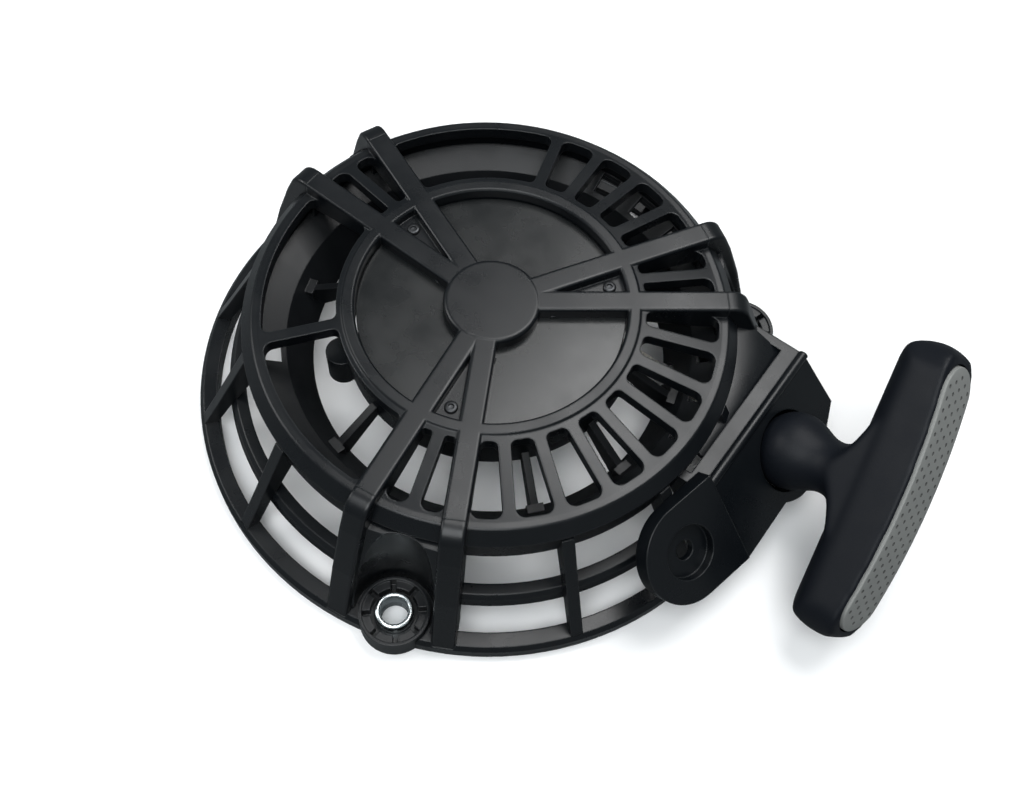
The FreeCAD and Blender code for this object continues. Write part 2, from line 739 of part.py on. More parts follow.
def build_rope_guide(crown, feet, cage):
    """The bracket that holds the handle's seat, with its sloping face, walls and screw ear."""
    slope = "dims.strip_z - (dims.face_bottom_x - dims.strip_outer)"
    back_edge = ("dims.face_bottom_x - dims.face_wall * 0.7", f"{slope} - dims.face_wall * 0.7")
    face = panel("guide_face", profile("guide_face_profile", [
        ("dims.strip_inner", "dims.strip_z"),
        ("dims.strip_outer", "dims.strip_z"),
        ("dims.face_bottom_x", slope),
        back_edge,
        ("dims.strip_outer - 1.8", "dims.strip_z - dims.strip_wall"),
        ("dims.strip_inner", "dims.strip_z - dims.strip_wall"),
    ]), "dims.face_near", "dims.face_far")
    near_wall = panel("guide_near_wall", profile("guide_near_profile", [
        ("dims.skirt_inner", "dims.strip_z"),
        ("dims.strip_outer", "dims.strip_z"),
        ("dims.face_bottom_x", slope),
        back_edge,
        ("dims.base_outer - 1", "dims.base_height"),
        ("dims.base_inner", "dims.base_height"),
        ("dims.skirt_inner", "dims.skirt_bottom - 2"),
    ]), "dims.face_near", "dims.side_wall - dims.face_near")
    far_wall = panel("guide_far_wall", profile("guide_far_profile", [
        ("dims.far_wall_inner", "dims.strip_z"),
        ("dims.strip_outer", "dims.strip_z"),
        ("dims.face_bottom_x", slope),
        back_edge,
        ("dims.far_foot_outer", "dims.base_height"),
        ("dims.far_foot_inner", "dims.base_height"),
        ("dims.far_wall_inner", "dims.skirt_bottom - 2"),
    ]), "dims.side_wall - dims.face_far", "dims.face_far")
    bead_start = Vector(size("strip_outer"), -size("face_near"), size("strip_z") - 0.5)
    face_width = size("face_near") + size("face_far")
    bead = along(Vector(0, 1, 0), bead_start, "face_bead", size("face_bead"), 0, face_width)
    origin, pull, ball = seat_frame()
    normal = Vector(1, 0, 1).normalize()
    plane_shift = (size("strip_outer") + size("strip_z") - ball.x - ball.z) / math.sqrt(2)
    below_face = Part.makeBox(80, 80, 80)
    below_face.Placement = FreeCAD.Placement(
        ball + normal * plane_shift, FreeCAD.Rotation(Vector(0, 0, 1), normal),
    ).multiply(FreeCAD.Placement(Vector(-40, -40, -80), FreeCAD.Rotation()))
    shell = Part.makeSphere(size("seat_radius") + size("seat_wall"), ball)
    seat_shell = computed("seat_shell", shell.common(below_face))
    seat_hollow = computed("seat_hollow", Part.makeSphere(size("seat_radius"), ball))

    turn = math.radians(size("ear_turn"))
    ear_normal = Vector(math.cos(turn), math.sin(turn), 1).normalize()
    ear_centre = Vector(size("ear_x"), size("ear_y"), size("ear_z"))
    thickness = size("ear_wall")
    ear_disc = along(ear_normal, ear_centre, "ear_disc", size("ear_radius"), -thickness, 0)
    sideways = Vector(-math.sin(turn), math.cos(turn), 0)
    downhill = ear_normal.cross(sideways).normalize()
    reach = size("ear_reach")
    corners = [
        ear_centre - downhill * size("ear_radius"),
        ear_centre - downhill * size("ear_radius") + sideways * reach,
        ear_centre + downhill * size("ear_radius") + sideways * reach,
        ear_centre + downhill * size("ear_radius"),
    ]
    ear_plate = Part.Face(Part.makePolygon(corners + corners[:1])).extrude(ear_normal * -thickness)
    ear_bridge = computed("ear_bridge", ear_plate)

    uphill, inward_along = Vector(-1, 0, 1).normalize(), Vector(0, -1, 0)
    far_corner = Vector(
        size("face_bottom_x"), size("face_far"), size("strip_z") + size("strip_outer") - size("face_bottom_x"),
    ) - normal * size("ear_radius")
    rise, run = uphill * size("corner_rise"), inward_along * size("corner_run")
    corners = [far_corner - rise - run, far_corner + rise * 2 - run, far_corner - rise + run * 2]
    corner_trim = computed(
        "corner_trim",
        Part.Face(Part.makePolygon(corners + corners[:1])).extrude(normal * size("ear_radius") * 2),
    )

    solid = joined("guide_solid", [face, bead, near_wall, far_wall, seat_shell, ear_disc, ear_bridge])
    depth = size("ear_counterbore_depth")
    counterbore = along(ear_normal, ear_centre, "ear_counterbore_cut", size("ear_counterbore"), -depth, 9)
    ear_hole = along(ear_normal, ear_centre, "ear_hole_cut", size("ear_hole"), -30, 9)
    eyelet_hole = along(
        pull, ball, "eyelet_hole", size("eyelet_outer"), -size("seat_radius") - 12, -size("seat_radius") + 3,
    )
    passage_end = ball - pull * (size("seat_radius") + size("bend_depth"))
    start = Vector(size("rope_start_x"), size("seat_y"), size("rope_start_z"))
    inward = (start - passage_end).normalize()
    passage = along(inward, passage_end, "rope_passage", size("rope_passage"), -1, 40)
    cuts = joined("guide_cuts", [seat_hollow, counterbore, ear_hole, eyelet_hole, passage, corner_trim])
    pierced = cut("guide_pierced", solid, cuts)
    clear_of_crown = cut("guide_less_crown", pierced, crown)
    return cut("housing_rope_guide", cut("guide_less_feet", clear_of_crown, feet), cage)


# ---------------------------------------------------------------- cover, screws, sleeves, air guide


def at_feet(name, radius, base, top, circle):
    """Three upright cylinders, one in line with each foot."""
    return [
        cylinder(
            f"{name}_{index}", radius, base, top,
            f"{circle} * cos({azimuth} * 1 deg)", f"{circle} * sin({azimuth} * 1 deg)",
        )
        for index, azimuth in enumerate(FOOT_AZIMUTHS)
    ]


def build_cover_plate():
    """The round plate over the spring, with three bosses under it."""
    circle = "dims.cover_screw_circle"
    disc = cylinder("plate_disc", "dims.plate_radius", "dims.roof_z - dims.plate_wall", "dims.roof_z")
    boss_bottom = "dims.roof_z - dims.plate_wall - dims.boss_depth"
    bosses = at_feet("plate_boss", "dims.boss_radius", boss_bottom, "dims.roof_z", circle)
    holes = at_feet("plate_hole", "dims.cover_screw_radius", f"{boss_bottom} - 1", "dims.top_z", circle)
    holes.append(cylinder("plate_post_hole", "dims.post_radius + 0.3", "dims.roof_z - 9", "dims.top_z"))
    return cut("spring_cover_plate", joined("plate_solid", [disc] + bosses), joined("plate_holes", holes))


def build_cover_screws():
    """Three small round-headed screws that hold the cover plate up to the webs."""
    circle = "dims.cover_screw_circle"
    seat = "dims.roof_z + dims.web_wall"
    shank_bottom = "dims.roof_z - dims.plate_wall - dims.boss_depth + 0.5"
    shanks = at_feet("cover_shank", "dims.cover_screw_radius", shank_bottom, seat, circle)
    heads = at_feet("cover_head", "dims.cover_head_radius", seat, f"{seat} + dims.cover_head_height", circle)
    sockets = at_feet("cover_socket_hole", "dims.cover_socket", f"{seat} + 0.3", f"{seat} + 3", circle)
    screws = [
        cut(f"cover_screw_{index}", joined(f"cover_screw_solid_{index}", [shank, head]), socket)
        for index, (shank, head, socket) in enumerate(zip(shanks, heads, sockets))
    ]
    return group("cover_screws", screws)


def build_sleeves():
    """Three steel spacer sleeves that take the engine bolts."""
    circle = "dims.bolt_circle / 2"
    outers = at_feet("sleeve_outer_wall", "dims.sleeve_outer", "0", "dims.sleeve_height", circle)
    bores = at_feet("sleeve_bore_hole", "dims.sleeve_bore", "-1", "dims.sleeve_height + 1", circle)
    sleeves = [
        cut(f"sleeve_{index}", outer, bore) for index, (outer, bore) in enumerate(zip(outers, bores))
    ]
    return group("mount_sleeves", sleeves)


def build_air_guide(crown, feet):
    """The inner shelf and funnel that lead the cooling air, tied to the cup by thin webs."""
    shell = revolved("air_shell", [
        ("dims.shelf_outer", "dims.shelf_outer_z"),
        ("dims.shelf_inner", "dims.shelf_inner_z"),
        ("dims.funnel_radius", "dims.funnel_z"),
        ("dims.funnel_radius + dims.guide_wall", "dims.funnel_z"),
        ("dims.shelf_inner + dims.guide_wall * 0.8", "dims.shelf_inner_z - dims.guide_wall"),
        ("dims.shelf_outer", "dims.shelf_outer_z - dims.guide_wall"),
    ])
    web_outline = profile("air_web_profile", [
        ("dims.ring_outer - 1", "dims.cup_bottom + 0.5"),
        ("dims.ring_outer - 1", "dims.cup_bottom + 5"),
        ("dims.shelf_inner - 4.4", "dims.shelf_inner_z - 3"),
        ("dims.shelf_inner - 1.4", "dims.shelf_inner_z - 3"),
        ("dims.funnel_radius + 0.8", "dims.funnel_z + 0.8"),
    ])
    foot_outline = profile("air_foot_profile", [
        ("dims.shelf_inner - 4.4", "dims.shelf_inner_z - 3"),
        ("dims.shelf_inner - 1.4", "dims.shelf_inner_z - 3"),
        ("dims.funnel_radius + 2.4", "dims.funnel_z + 2.4"),
    ])
    window_outline = profile("air_window_profile", [
        ("dims.window_inner", "dims.shelf_inner_z - 3"),
        ("dims.window_inner + dims.window_size", "dims.shelf_inner_z - 3"),
        ("dims.window_inner + dims.window_size", "dims.shelf_outer_z + 3"),
        ("dims.window_inner", "dims.shelf_outer_z + 3"),
    ])
    webs = []
    for third in (60, 180, 300):
        for step in (-1, 0, 1):
            if third == 180 and step == 0:
                continue
            azimuth = f"dims.foot_azimuth + {third} + {step} * dims.web_spread"
            webs.append(slab(f"air_web_{third}_{step + 1}", web_outline, "dims.guide_web", azimuth))
            webs.append(slab(f"air_foot_{third}_{step + 1}", foot_outline, "dims.web_foot", azimuth))
    windows = [
        slab(f"air_window_{step}", window_outline, "dims.window_size",
             f"dims.foot_azimuth - dims.window_turn - ({step}) * dims.rib_pitch")
        for step in (-5, -4, -3, 0, 1, 2, 3, 4, 5)
    ]
    windows.append(slab(
        "air_window_open_side", window_outline, "dims.window_size", "dims.foot_azimuth + dims.open_window_turn",
    ))
    windows.append(rope_gap("air_rope_gap"))
    pierced = cut("air_guide_pierced", joined("air_guide_solid", [shell] + webs), joined("air_windows", windows))
    return cut("air_guide", cut("air_guide_less_feet", pierced, feet), crown)


# ---------------------------------------------------------------- reel and spring


def build_reel():
    """The rope reel: two flanges, a hub, and a wall round the spring on top."""
    body = revolved("reel_body", [
        ("dims.bush_outer", "dims.reel_hub_bottom"),
        ("dims.reel_hub", "dims.reel_hub_bottom"),
        ("dims.reel_hub", "dims.reel_bottom"),
        ("dims.reel_outer", "dims.reel_bottom"),
        ("dims.reel_outer", "dims.reel_bottom + dims.reel_flange"),
        ("dims.reel_core", "dims.reel_bottom + dims.reel_flange"),
        ("dims.reel_core", "dims.reel_top - dims.reel_flange"),
        ("dims.reel_outer", "dims.reel_top - dims.reel_flange"),
        ("dims.reel_outer", "dims.reel_top"),
        ("dims.spring_wall_outer", "dims.reel_top"),
        ("dims.spring_wall_outer", "dims.spring_wall_top"),
        ("dims.spring_wall_inner", "dims.spring_wall_top"),
        ("dims.spring_wall_inner", "dims.reel_top"),
        ("dims.bush_outer", "dims.reel_top"),
    ])
    top = "dims.reel_bottom + dims.reel_flange"
    low = cylinder("pin_hole_low", "dims.pawl_pin_radius", "dims.reel_bottom - 1", top, "0", "dims.pawl_pin_circle")
    high = cylinder("pin_hole_high", "dims.pawl_pin_radius", "dims.reel_bottom - 1", top, "0", "-dims.pawl_pin_circle")
    return cut("reel", body, joined("pin_holes", [low, high]))


def build_bush():
    """The plain bush that the reel turns on."""
    bore = "dims.post_radius + dims.bush_clearance"
    low = "dims.reel_hub_bottom"
    return cut(
        "reel_bush",
        cylinder("bush_wall", "dims.bush_outer", low, "dims.reel_top"),
        cylinder("bush_bore", bore, f"{low} - 1", "dims.reel_top + 1"),
    )


def build_winding():
    """The rope wound in the reel's groove, as one closed ring with rounded turns."""
    return revolved("rope_winding", [
        ("dims.reel_core", "dims.reel_bottom + dims.reel_flange + dims.winding_gap"),
        ("dims.winding_outer - 1.4", "dims.reel_bottom + dims.reel_flange + dims.winding_gap"),
        ("dims.winding_outer", "dims.reel_bottom + dims.reel_flange + 1.5"),
        ("dims.winding_outer", "dims.reel_top - dims.reel_flange - 1.5"),
        ("dims.winding_outer - 1.4", "dims.reel_top - dims.reel_flange - dims.winding_gap"),
        ("dims.reel_core", "dims.reel_top - dims.reel_flange - dims.winding_gap"),
    ])


def spiral(radius_shift):
    """One side of the spring strip as a smooth spiral curve."""
    turns = size("spring_turns")
    inner, outer = size("spring_inner"), size("spring_outer")
    steps = int(turns * 16)
    points = []
    for step in range(steps + 1):
        share = step / steps
        angle = 2 * math.pi * turns * share
        radius = inner + (outer - inner) * share + radius_shift
        points.append(Vector(radius * math.cos(angle), radius * math.sin(angle), size("spring_bottom")))
    curve = Part.BSplineCurve()
    curve.interpolate(points)
    return curve.toShape()


def build_spring():
    """The flat spiral spring that winds the rope back in."""
    near_side = spiral(0)
    far_side = spiral(size("spring_strip"))
    inner_end = Part.makeLine(near_side.Vertexes[0].Point, far_side.Vertexes[0].Point)
    outer_end = Part.makeLine(near_side.Vertexes[-1].Point, far_side.Vertexes[-1].Point)
    outline = Part.Wire([near_side, outer_end, far_side, inner_end])
    strip = Part.Face(outline).extrude(Vector(0, 0, size("spring_width")))
    return computed("recoil_spring", strip)


def build_pins():
    """The two steel pins that the pawls swing on."""
    top = "dims.reel_bottom + dims.reel_flange"
    return group("pawl_pins", [
        cylinder("pin_low", "dims.pawl_pin_radius", "dims.pawl_bottom", top, "0", "dims.pawl_pin_circle"),
        cylinder("pin_high", "dims.pawl_pin_radius", "dims.pawl_bottom", top, "0", "-dims.pawl_pin_circle"),
    ])


def pawl_shape():
    """One pawl with its pin boss, hooked tip and cam peg, for the pin on the +Y side."""
    pin = Vector(0, size("pawl_pin_circle"), size("pawl_bottom"))
    tip = pin + Vector(size("pawl_reach"), -size("pawl_drop"), 0)
    thickness = size("pawl_top") - size("pawl_bottom")
    arm_direction = (tip - pin).normalize()
    side = Vector(-arm_direction.y, arm_direction.x, 0)
    boss = Part.makeCylinder(size("pawl_boss"), thickness, pin)
    outline = [
        pin + side * size("pawl_boss"),
        tip + side * size("pawl_tip"),
        tip + arm_direction * size("pawl_point") + side * size("pawl_tip"),
        tip - side * size("pawl_tip") * 1.6,
        pin - side * size("pawl_boss") * 0.75,
    ]
    arm = Part.Face(Part.makePolygon(outline + outline[:1])).extrude(Vector(0, 0, thickness))
    peg_foot = pin + Vector(size("peg_reach"), -size("peg_drop"), size("peg_bottom") - size("pawl_bottom"))
    peg = Part.makeCylinder(size("peg_radius"), size("pawl_bottom") - size("peg_bottom") + 1, peg_foot)
    bore = Part.makeCylinder(size("pawl_pin_radius") + size("pawl_clearance"), thickness + 2, pin - Vector(0, 0, 1))
    return boss.fuse([arm, peg]).cut(bore).removeSplitter()


def build_pawls():
    """The two pawls, half a turn apart."""
    first = computed("pawl_a", pawl_shape())
    shape = pawl_shape()
    shape.rotate(Vector(0, 0, 0), Vector(0, 0, 1), 180)
    return first, computed("pawl_b", shape)


def peg_position(swing, turn):
    """Where pawl_a's peg stands on the drive plate once both have turned."""
    pin = Vector(0, size("pawl_pin_circle"), 0)
    arm = Vector(size("peg_reach"), -size("peg_drop"), 0)
    swung = FreeCAD.Rotation(Vector(0, 0, 1), swing).multVec(arm)
    return FreeCAD.Rotation(Vector(0, 0, 1), -turn).multVec(pin + swung)


def build_drive_plate():
    """The friction plate whose two slots swing the pawls out."""
    low, high = size("plate_bottom"), size("plate_top")
    start = peg_position(0, 0)
    end = peg_position(size("pawl_swing"), size("cam_turn"))
    run = end - start
    side = Vector(-run.y, run.x, 0).normalize() * size("cam_slot")
    corners = [start + side, end + side, end - side, start - side]
    block = Part.Face(Part.makePolygon(corners + corners[:1])).extrude(Vector(0, 0, high + 10))
    ends = [Part.makeCylinder(size("cam_slot"), high + 10, point) for point in (start, end)]
    slot = computed("cam_slot_low", block.fuse(ends))
    slots = turned_copies("cam_slots", slot, (0, 180))
    disc = cylinder("drive_disc", "dims.drive_plate_radius", low, high)
    bore = cylinder("drive_plate_bore", "dims.drive_bore", "dims.plate_bottom - 1", "dims.plate_top + 1")
    return cut("drive_plate", cut("drive_disc_bored", disc, bore), slots)


def build_centre_hardware():
    """The centre screw, its washer and the split friction spring above the drive plate."""
    head = cylinder("centre_head", "dims.screw_head_radius", "dims.screw_head_bottom", "dims.washer_bottom")
    socket = cylinder(
        "centre_socket", "dims.screw_socket", "dims.screw_head_bottom - 1", "dims.screw_head_bottom + 2.2",
    )
    shank = cylinder(
        "centre_shank", "dims.screw_radius", "dims.washer_bottom", "dims.spigot_bottom + dims.screw_depth - 1",
    )
    cut("centre_screw", joined("centre_screw_solid", [head, shank]), socket)
    cut(
        "retaining_washer",
        cylinder("washer_disc", "dims.washer_radius", "dims.washer_bottom", "dims.spigot_bottom"),
        cylinder("washer_hole", "dims.screw_radius", "dims.washer_bottom - 1", "dims.spigot_bottom + 1"),
    )
    ring = cylinder("friction_ring", "dims.friction_outer", "dims.friction_bottom", "dims.friction_top")
    hole = cylinder("friction_hole", "dims.friction_inner", "dims.friction_bottom - 1", "dims.friction_top + 1")
    split = box(
        "friction_split_gap", "dims.friction_outer", "dims.friction_split", "10",
        "0", "-dims.friction_split / 2", "dims.friction_bottom - 5",
    )
    cut("friction_spring", ring, joined("friction_cuts", [hole, split]))


# ---------------------------------------------------------------- rope, eyelet and handle


def rope_route():
    """Corner points of the rope's lead: reel groove, seat, and the handle's knot."""
    origin, pull, ball = seat_frame()
    start = Vector(size("rope_start_x"), size("seat_y"), size("rope_start_z"))
    bend = ball - pull * (size("seat_radius") + size("bend_depth"))
    end = origin + pull * (size("insert_seat") - size("knot_room") - 0.4)
    return start, bend, end


def build_rope_lead():
    """The rope from the reel's groove through the eyelet to the knot in the handle."""
    start, bend, end = rope_route()
    inward = (start - bend).normalize()
    outward = (end - bend).normalize()
    half_turn = (math.pi - inward.getAngle(outward)) / 2
    radius = size("rope_bend")
    setback = radius * math.tan(half_turn)
    bisector = (inward + outward).normalize()
    centre = bend + bisector * (radius / math.cos(half_turn))
    middle = centre - bisector * radius
    first, last = bend + inward * setback, bend + outward * setback
    path = Part.Wire([
        Part.makeLine(start, first),
        Part.Arc(first, middle, last).toShape(),
        Part.makeLine(last, end),
    ])
    section = Part.Wire(Part.makeCircle(size("rope_radius"), start, -inward))
    tube = path.makePipeShell([section], True, True)
    expected = math.pi * size("rope_radius") ** 2 * path.Length
    print(f"rope lead: arc radius {radius:.1f}, volume ratio {tube.Volume / expected:.4f}")
    return computed("rope_lead", tube)


def build_eyelet():
    """The steel eyelet that the rope runs through at the back of the seat."""
    origin, pull, ball = seat_frame()
    inner_end = -size("seat_radius") - size("eyelet_length")
    wall = Part.makeCylinder(size("eyelet_outer"), size("eyelet_length") - 0.4, ball + pull * inner_end, pull)
    lip = Part.makeCylinder(size("eyelet_lip"), 0.8, ball + pull * (inner_end - 0.8), pull)
    bore = Part.makeCylinder(size("eyelet_inner"), 40, ball + pull * (inner_end - 20), pull)
    return computed("rope_eyelet", wall.fuse(lip).cut(bore).removeSplitter())


def handle_placement():
    """From the handle's own axes (Z pull, X along the bar) to the starter's."""
    origin, pull, ball = seat_frame()
    turn, roll = math.radians(size("pull_turn")), math.radians(size("bar_roll"))
    level = Vector(-math.sin(turn), math.cos(turn), 0)
    bar = level * math.cos(roll) + pull.cross(level) * math.sin(roll)
    return FreeCAD.Placement(origin, FreeCAD.Rotation(bar, pull.cross(bar), pull, "ZXY"))


def obround(name, length, width, bottom, top):
    """A flat bar with round ends, along X."""
    centre = f"(({length}) - ({width})) / 2"
    return joined(name, [
        box(f"{name}_middle", f"({length}) - ({width})", width, f"({top}) - ({bottom})",
            f"-({centre})", f"-({width}) / 2", bottom),
        cylinder(f"{name}_left", f"({width}) / 2", bottom, top, f"-({centre})"),
        cylinder(f"{name}_right", f"({width}) / 2", bottom, top, centre),
    ])


def bow_drum(name, crest):
    """A drum across the bar whose crest gives the handle's outer face its lengthwise bow."""
    radius = size("face_bow")
    centre = Vector(0, -size("bar_width"), crest - radius)
    drum = Part.makeCylinder(radius, size("bar_width") * 2, centre, Vector(0, 1, 0))
    return computed(name, drum)


def build_handle():
    """The T-handle: a round-backed bar on a neck that ends in a ball."""
    side_blank = box(
        "bar_side", "dims.bar_length", "dims.bar_width", "dims.bar_far - dims.bar_near",
        "-dims.bar_length / 2", "-dims.bar_width / 2", "dims.bar_near",
    )

    def end_corner(edge):
        """The four corners seen along the bar's width are round."""
        start, end = (vertex.Point for vertex in edge.Vertexes)
        across = abs(start.x - end.x) < ALL_ROUND and abs(start.z - end.z) < ALL_ROUND
        return size("bar_corner") if across else 0

    side = rounded("bar_rounded", side_blank, end_corner)
    back_radius = size("bar_width") / 2
    back_height = size("bar_near") + back_radius
    half_length = size("bar_length") / 2
    back = Part.makeCylinder(back_radius, size("bar_length"), Vector(-half_length, 0, back_height), Vector(1, 0, 0))
    front_height = size("bar_far") - back_height
    front = Part.makeBox(
        size("bar_length"), size("bar_width"), front_height, Vector(-half_length, -back_radius, back_height),
    )
    section = computed("bar_section", back.fuse(front).removeSplitter())
    bowed = common("bar_bowed", section, bow_drum("bar_drum", size("bar_far")))
    bar = common("bar", side, bowed)
    neck = revolved("neck", [
        ("0", "-8.6"),
        ("5", "-7.4"),
        ("8.6", "-4.8"),
        ("10.9", "-1"),
        ("dims.bulb_radius - 0.2", "3"),
        ("10.9", "7"),
        ("9.3", "10.4"),
        ("dims.neck_radius", "14"),
        ("dims.neck_radius", "17"),
        ("8.4", "20"),
        ("8.8", "23"),
        ("8.8", "28"),
        ("0", "28"),
    ])
    solid = joined("handle_solid", [bar, neck])
    bore = cylinder("handle_bore_hole", "dims.handle_bore", "-20", "dims.insert_seat")
    pocket = cylinder("knot_pocket_hole", "dims.knot_pocket", "dims.insert_seat - dims.knot_room", "dims.insert_seat")
    seat_drum = bow_drum("seat_drum", size("insert_seat"))
    recess = obround(
        "insert_recess", "dims.insert_length", "dims.insert_width", "dims.bar_near + 10", "dims.bar_far + 5",
    )
    seat = cut("insert_recess_bowed", recess, seat_drum)
    body = cut("handle_body", solid, joined("handle_cuts", [bore, pocket, seat]))
    blank = obround("insert_blank", "dims.insert_length - 0.4", "dims.insert_width - 0.4",
                    "dims.bar_near + 10", "dims.insert_top")
    insert = cut("grip_insert", common("insert_bowed", blank, bow_drum("top_drum", size("insert_top"))), seat_drum)
    floor = "dims.insert_seat - dims.knot_room"
    stop = cut(
        "rope_stop",
        cylinder("stop_disc", "dims.stop_radius", floor, f"{floor} + dims.stop_height"),
        cylinder("stop_hole", "dims.handle_bore", f"{floor} - 1", f"{floor} + 3"),
    )
    knot_centre = f"{floor} + dims.stop_height + dims.knot_radius * 0.8"
    ball = sphere("knot_ball", "dims.knot_radius", "0", "0", knot_centre)
    trim = cylinder("knot_trim", "dims.knot_radius", f"{floor} + dims.stop_height", "dims.insert_seat - 0.2")
    knot = common("handle_knot", ball, trim)
    for piece in (body, insert, stop, knot):
        piece.Placement = handle_placement()


def build_reel_knot():
    """The knot that holds the rope's inner end under the reel."""
    place = "-dims.reel_knot_circle"
    ball = sphere("reel_knot_ball", "dims.reel_knot_radius", place, "0", "dims.reel_bottom - 2.4")
    trim = cylinder(
        "reel_knot_trim", "dims.reel_knot_radius + 1", "dims.reel_bottom - 6", "dims.reel_bottom", place,
    )
    return common("reel_knot", ball, trim)


NODES = [
    "housing_crown", "housing_feet", "housing_base_ring", "housing_middle_ring", "housing_side_ribs",
    "housing_rope_guide", "spring_cover_plate", "cover_screws", "mount_sleeves", "air_guide",
    "rope_eyelet", "recoil_spring", "reel", "reel_bush", "rope_winding", "reel_knot", "pawl_pins",
    "pawl_a", "pawl_b", "drive_plate", "centre_screw", "retaining_washer", "friction_spring",
    "rope_lead", "handle_body", "grip_insert", "rope_stop", "handle_knot",
]


def build_all():
    """Build every sub-part of the starter."""
    crown = build_crown()
    feet = build_feet(crown)
    cage = build_cage(crown, feet)
    build_rope_guide(crown, feet, cage)
    build_cover_plate()
    build_cover_screws()
    build_sleeves()
    build_air_guide(crown, feet)
    build_reel()
    build_bush()
    build_winding()
    build_spring()
    build_pins()
    build_pawls()
    build_drive_plate()
    build_centre_hardware()
    build_reel_knot()
    build_rope_lead()
    build_eyelet()
    build_handle()
    doc.recompute()


def check_and_export():
    """Stop on any failed object or bad shape, then write one STEP file for each sub-part."""
    failed = [item.Name for item in doc.Objects if "Invalid" in item.State or "Error" in item.State]
    if failed:
        raise RuntimeError(f"objects that failed to build: {failed}")
    os.makedirs("parts", exist_ok=True)
    for node in NODES:
        shape = doc.getObjectsByLabel(node)[0].Shape
        if shape.isNull() or not shape.isValid():
            raise RuntimeError(f"{node} has no valid shape")
        solids = len(shape.Solids)
        print(f"{node}: {solids} solid(s), {shape.Volume / 1000:.2f} cm3")
        shape.exportStep(f"parts/{node}.step")


build_all()
check_and_export()
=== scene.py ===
"""Recoil starter for a small engine: its finishes, its visual pieces, and the studio that shows it.

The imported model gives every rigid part, its place and its motion. This script dresses those parts and
replaces the ones whose real surface needs more than plain solids: the handle, its grip insert, the rope
and its winding, the bolt sleeves and the small screws. It adds one piece of its own, the web beside the
rope guide.
"""

import json
import logging
import math
from dataclasses import dataclass
from enum import Enum
from typing import Sequence

import bpy
import bmesh
from mathutils import Matrix, Vector


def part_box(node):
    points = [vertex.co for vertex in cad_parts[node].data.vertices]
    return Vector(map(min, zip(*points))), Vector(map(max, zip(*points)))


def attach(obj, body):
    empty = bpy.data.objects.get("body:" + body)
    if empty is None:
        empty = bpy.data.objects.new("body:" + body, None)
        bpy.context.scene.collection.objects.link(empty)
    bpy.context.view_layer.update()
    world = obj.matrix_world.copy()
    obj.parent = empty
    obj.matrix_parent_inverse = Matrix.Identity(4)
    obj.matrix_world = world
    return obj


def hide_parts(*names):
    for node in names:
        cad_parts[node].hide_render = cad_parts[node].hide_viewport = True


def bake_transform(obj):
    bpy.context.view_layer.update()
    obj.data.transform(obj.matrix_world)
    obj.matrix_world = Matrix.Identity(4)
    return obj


log = logging.getLogger("recoil_starter")

MM = 0.001
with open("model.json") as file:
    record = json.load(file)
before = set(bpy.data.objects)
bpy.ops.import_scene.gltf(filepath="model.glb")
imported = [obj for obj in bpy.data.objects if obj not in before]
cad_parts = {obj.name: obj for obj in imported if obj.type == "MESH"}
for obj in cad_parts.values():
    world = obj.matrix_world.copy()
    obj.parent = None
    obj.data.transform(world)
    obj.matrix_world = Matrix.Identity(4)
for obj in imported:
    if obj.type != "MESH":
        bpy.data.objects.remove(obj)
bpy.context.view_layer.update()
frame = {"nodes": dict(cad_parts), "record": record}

Point = tuple[float, float, float]
Color = tuple[float, float, float]


# ---------------------------------------------------------------- shared node groups


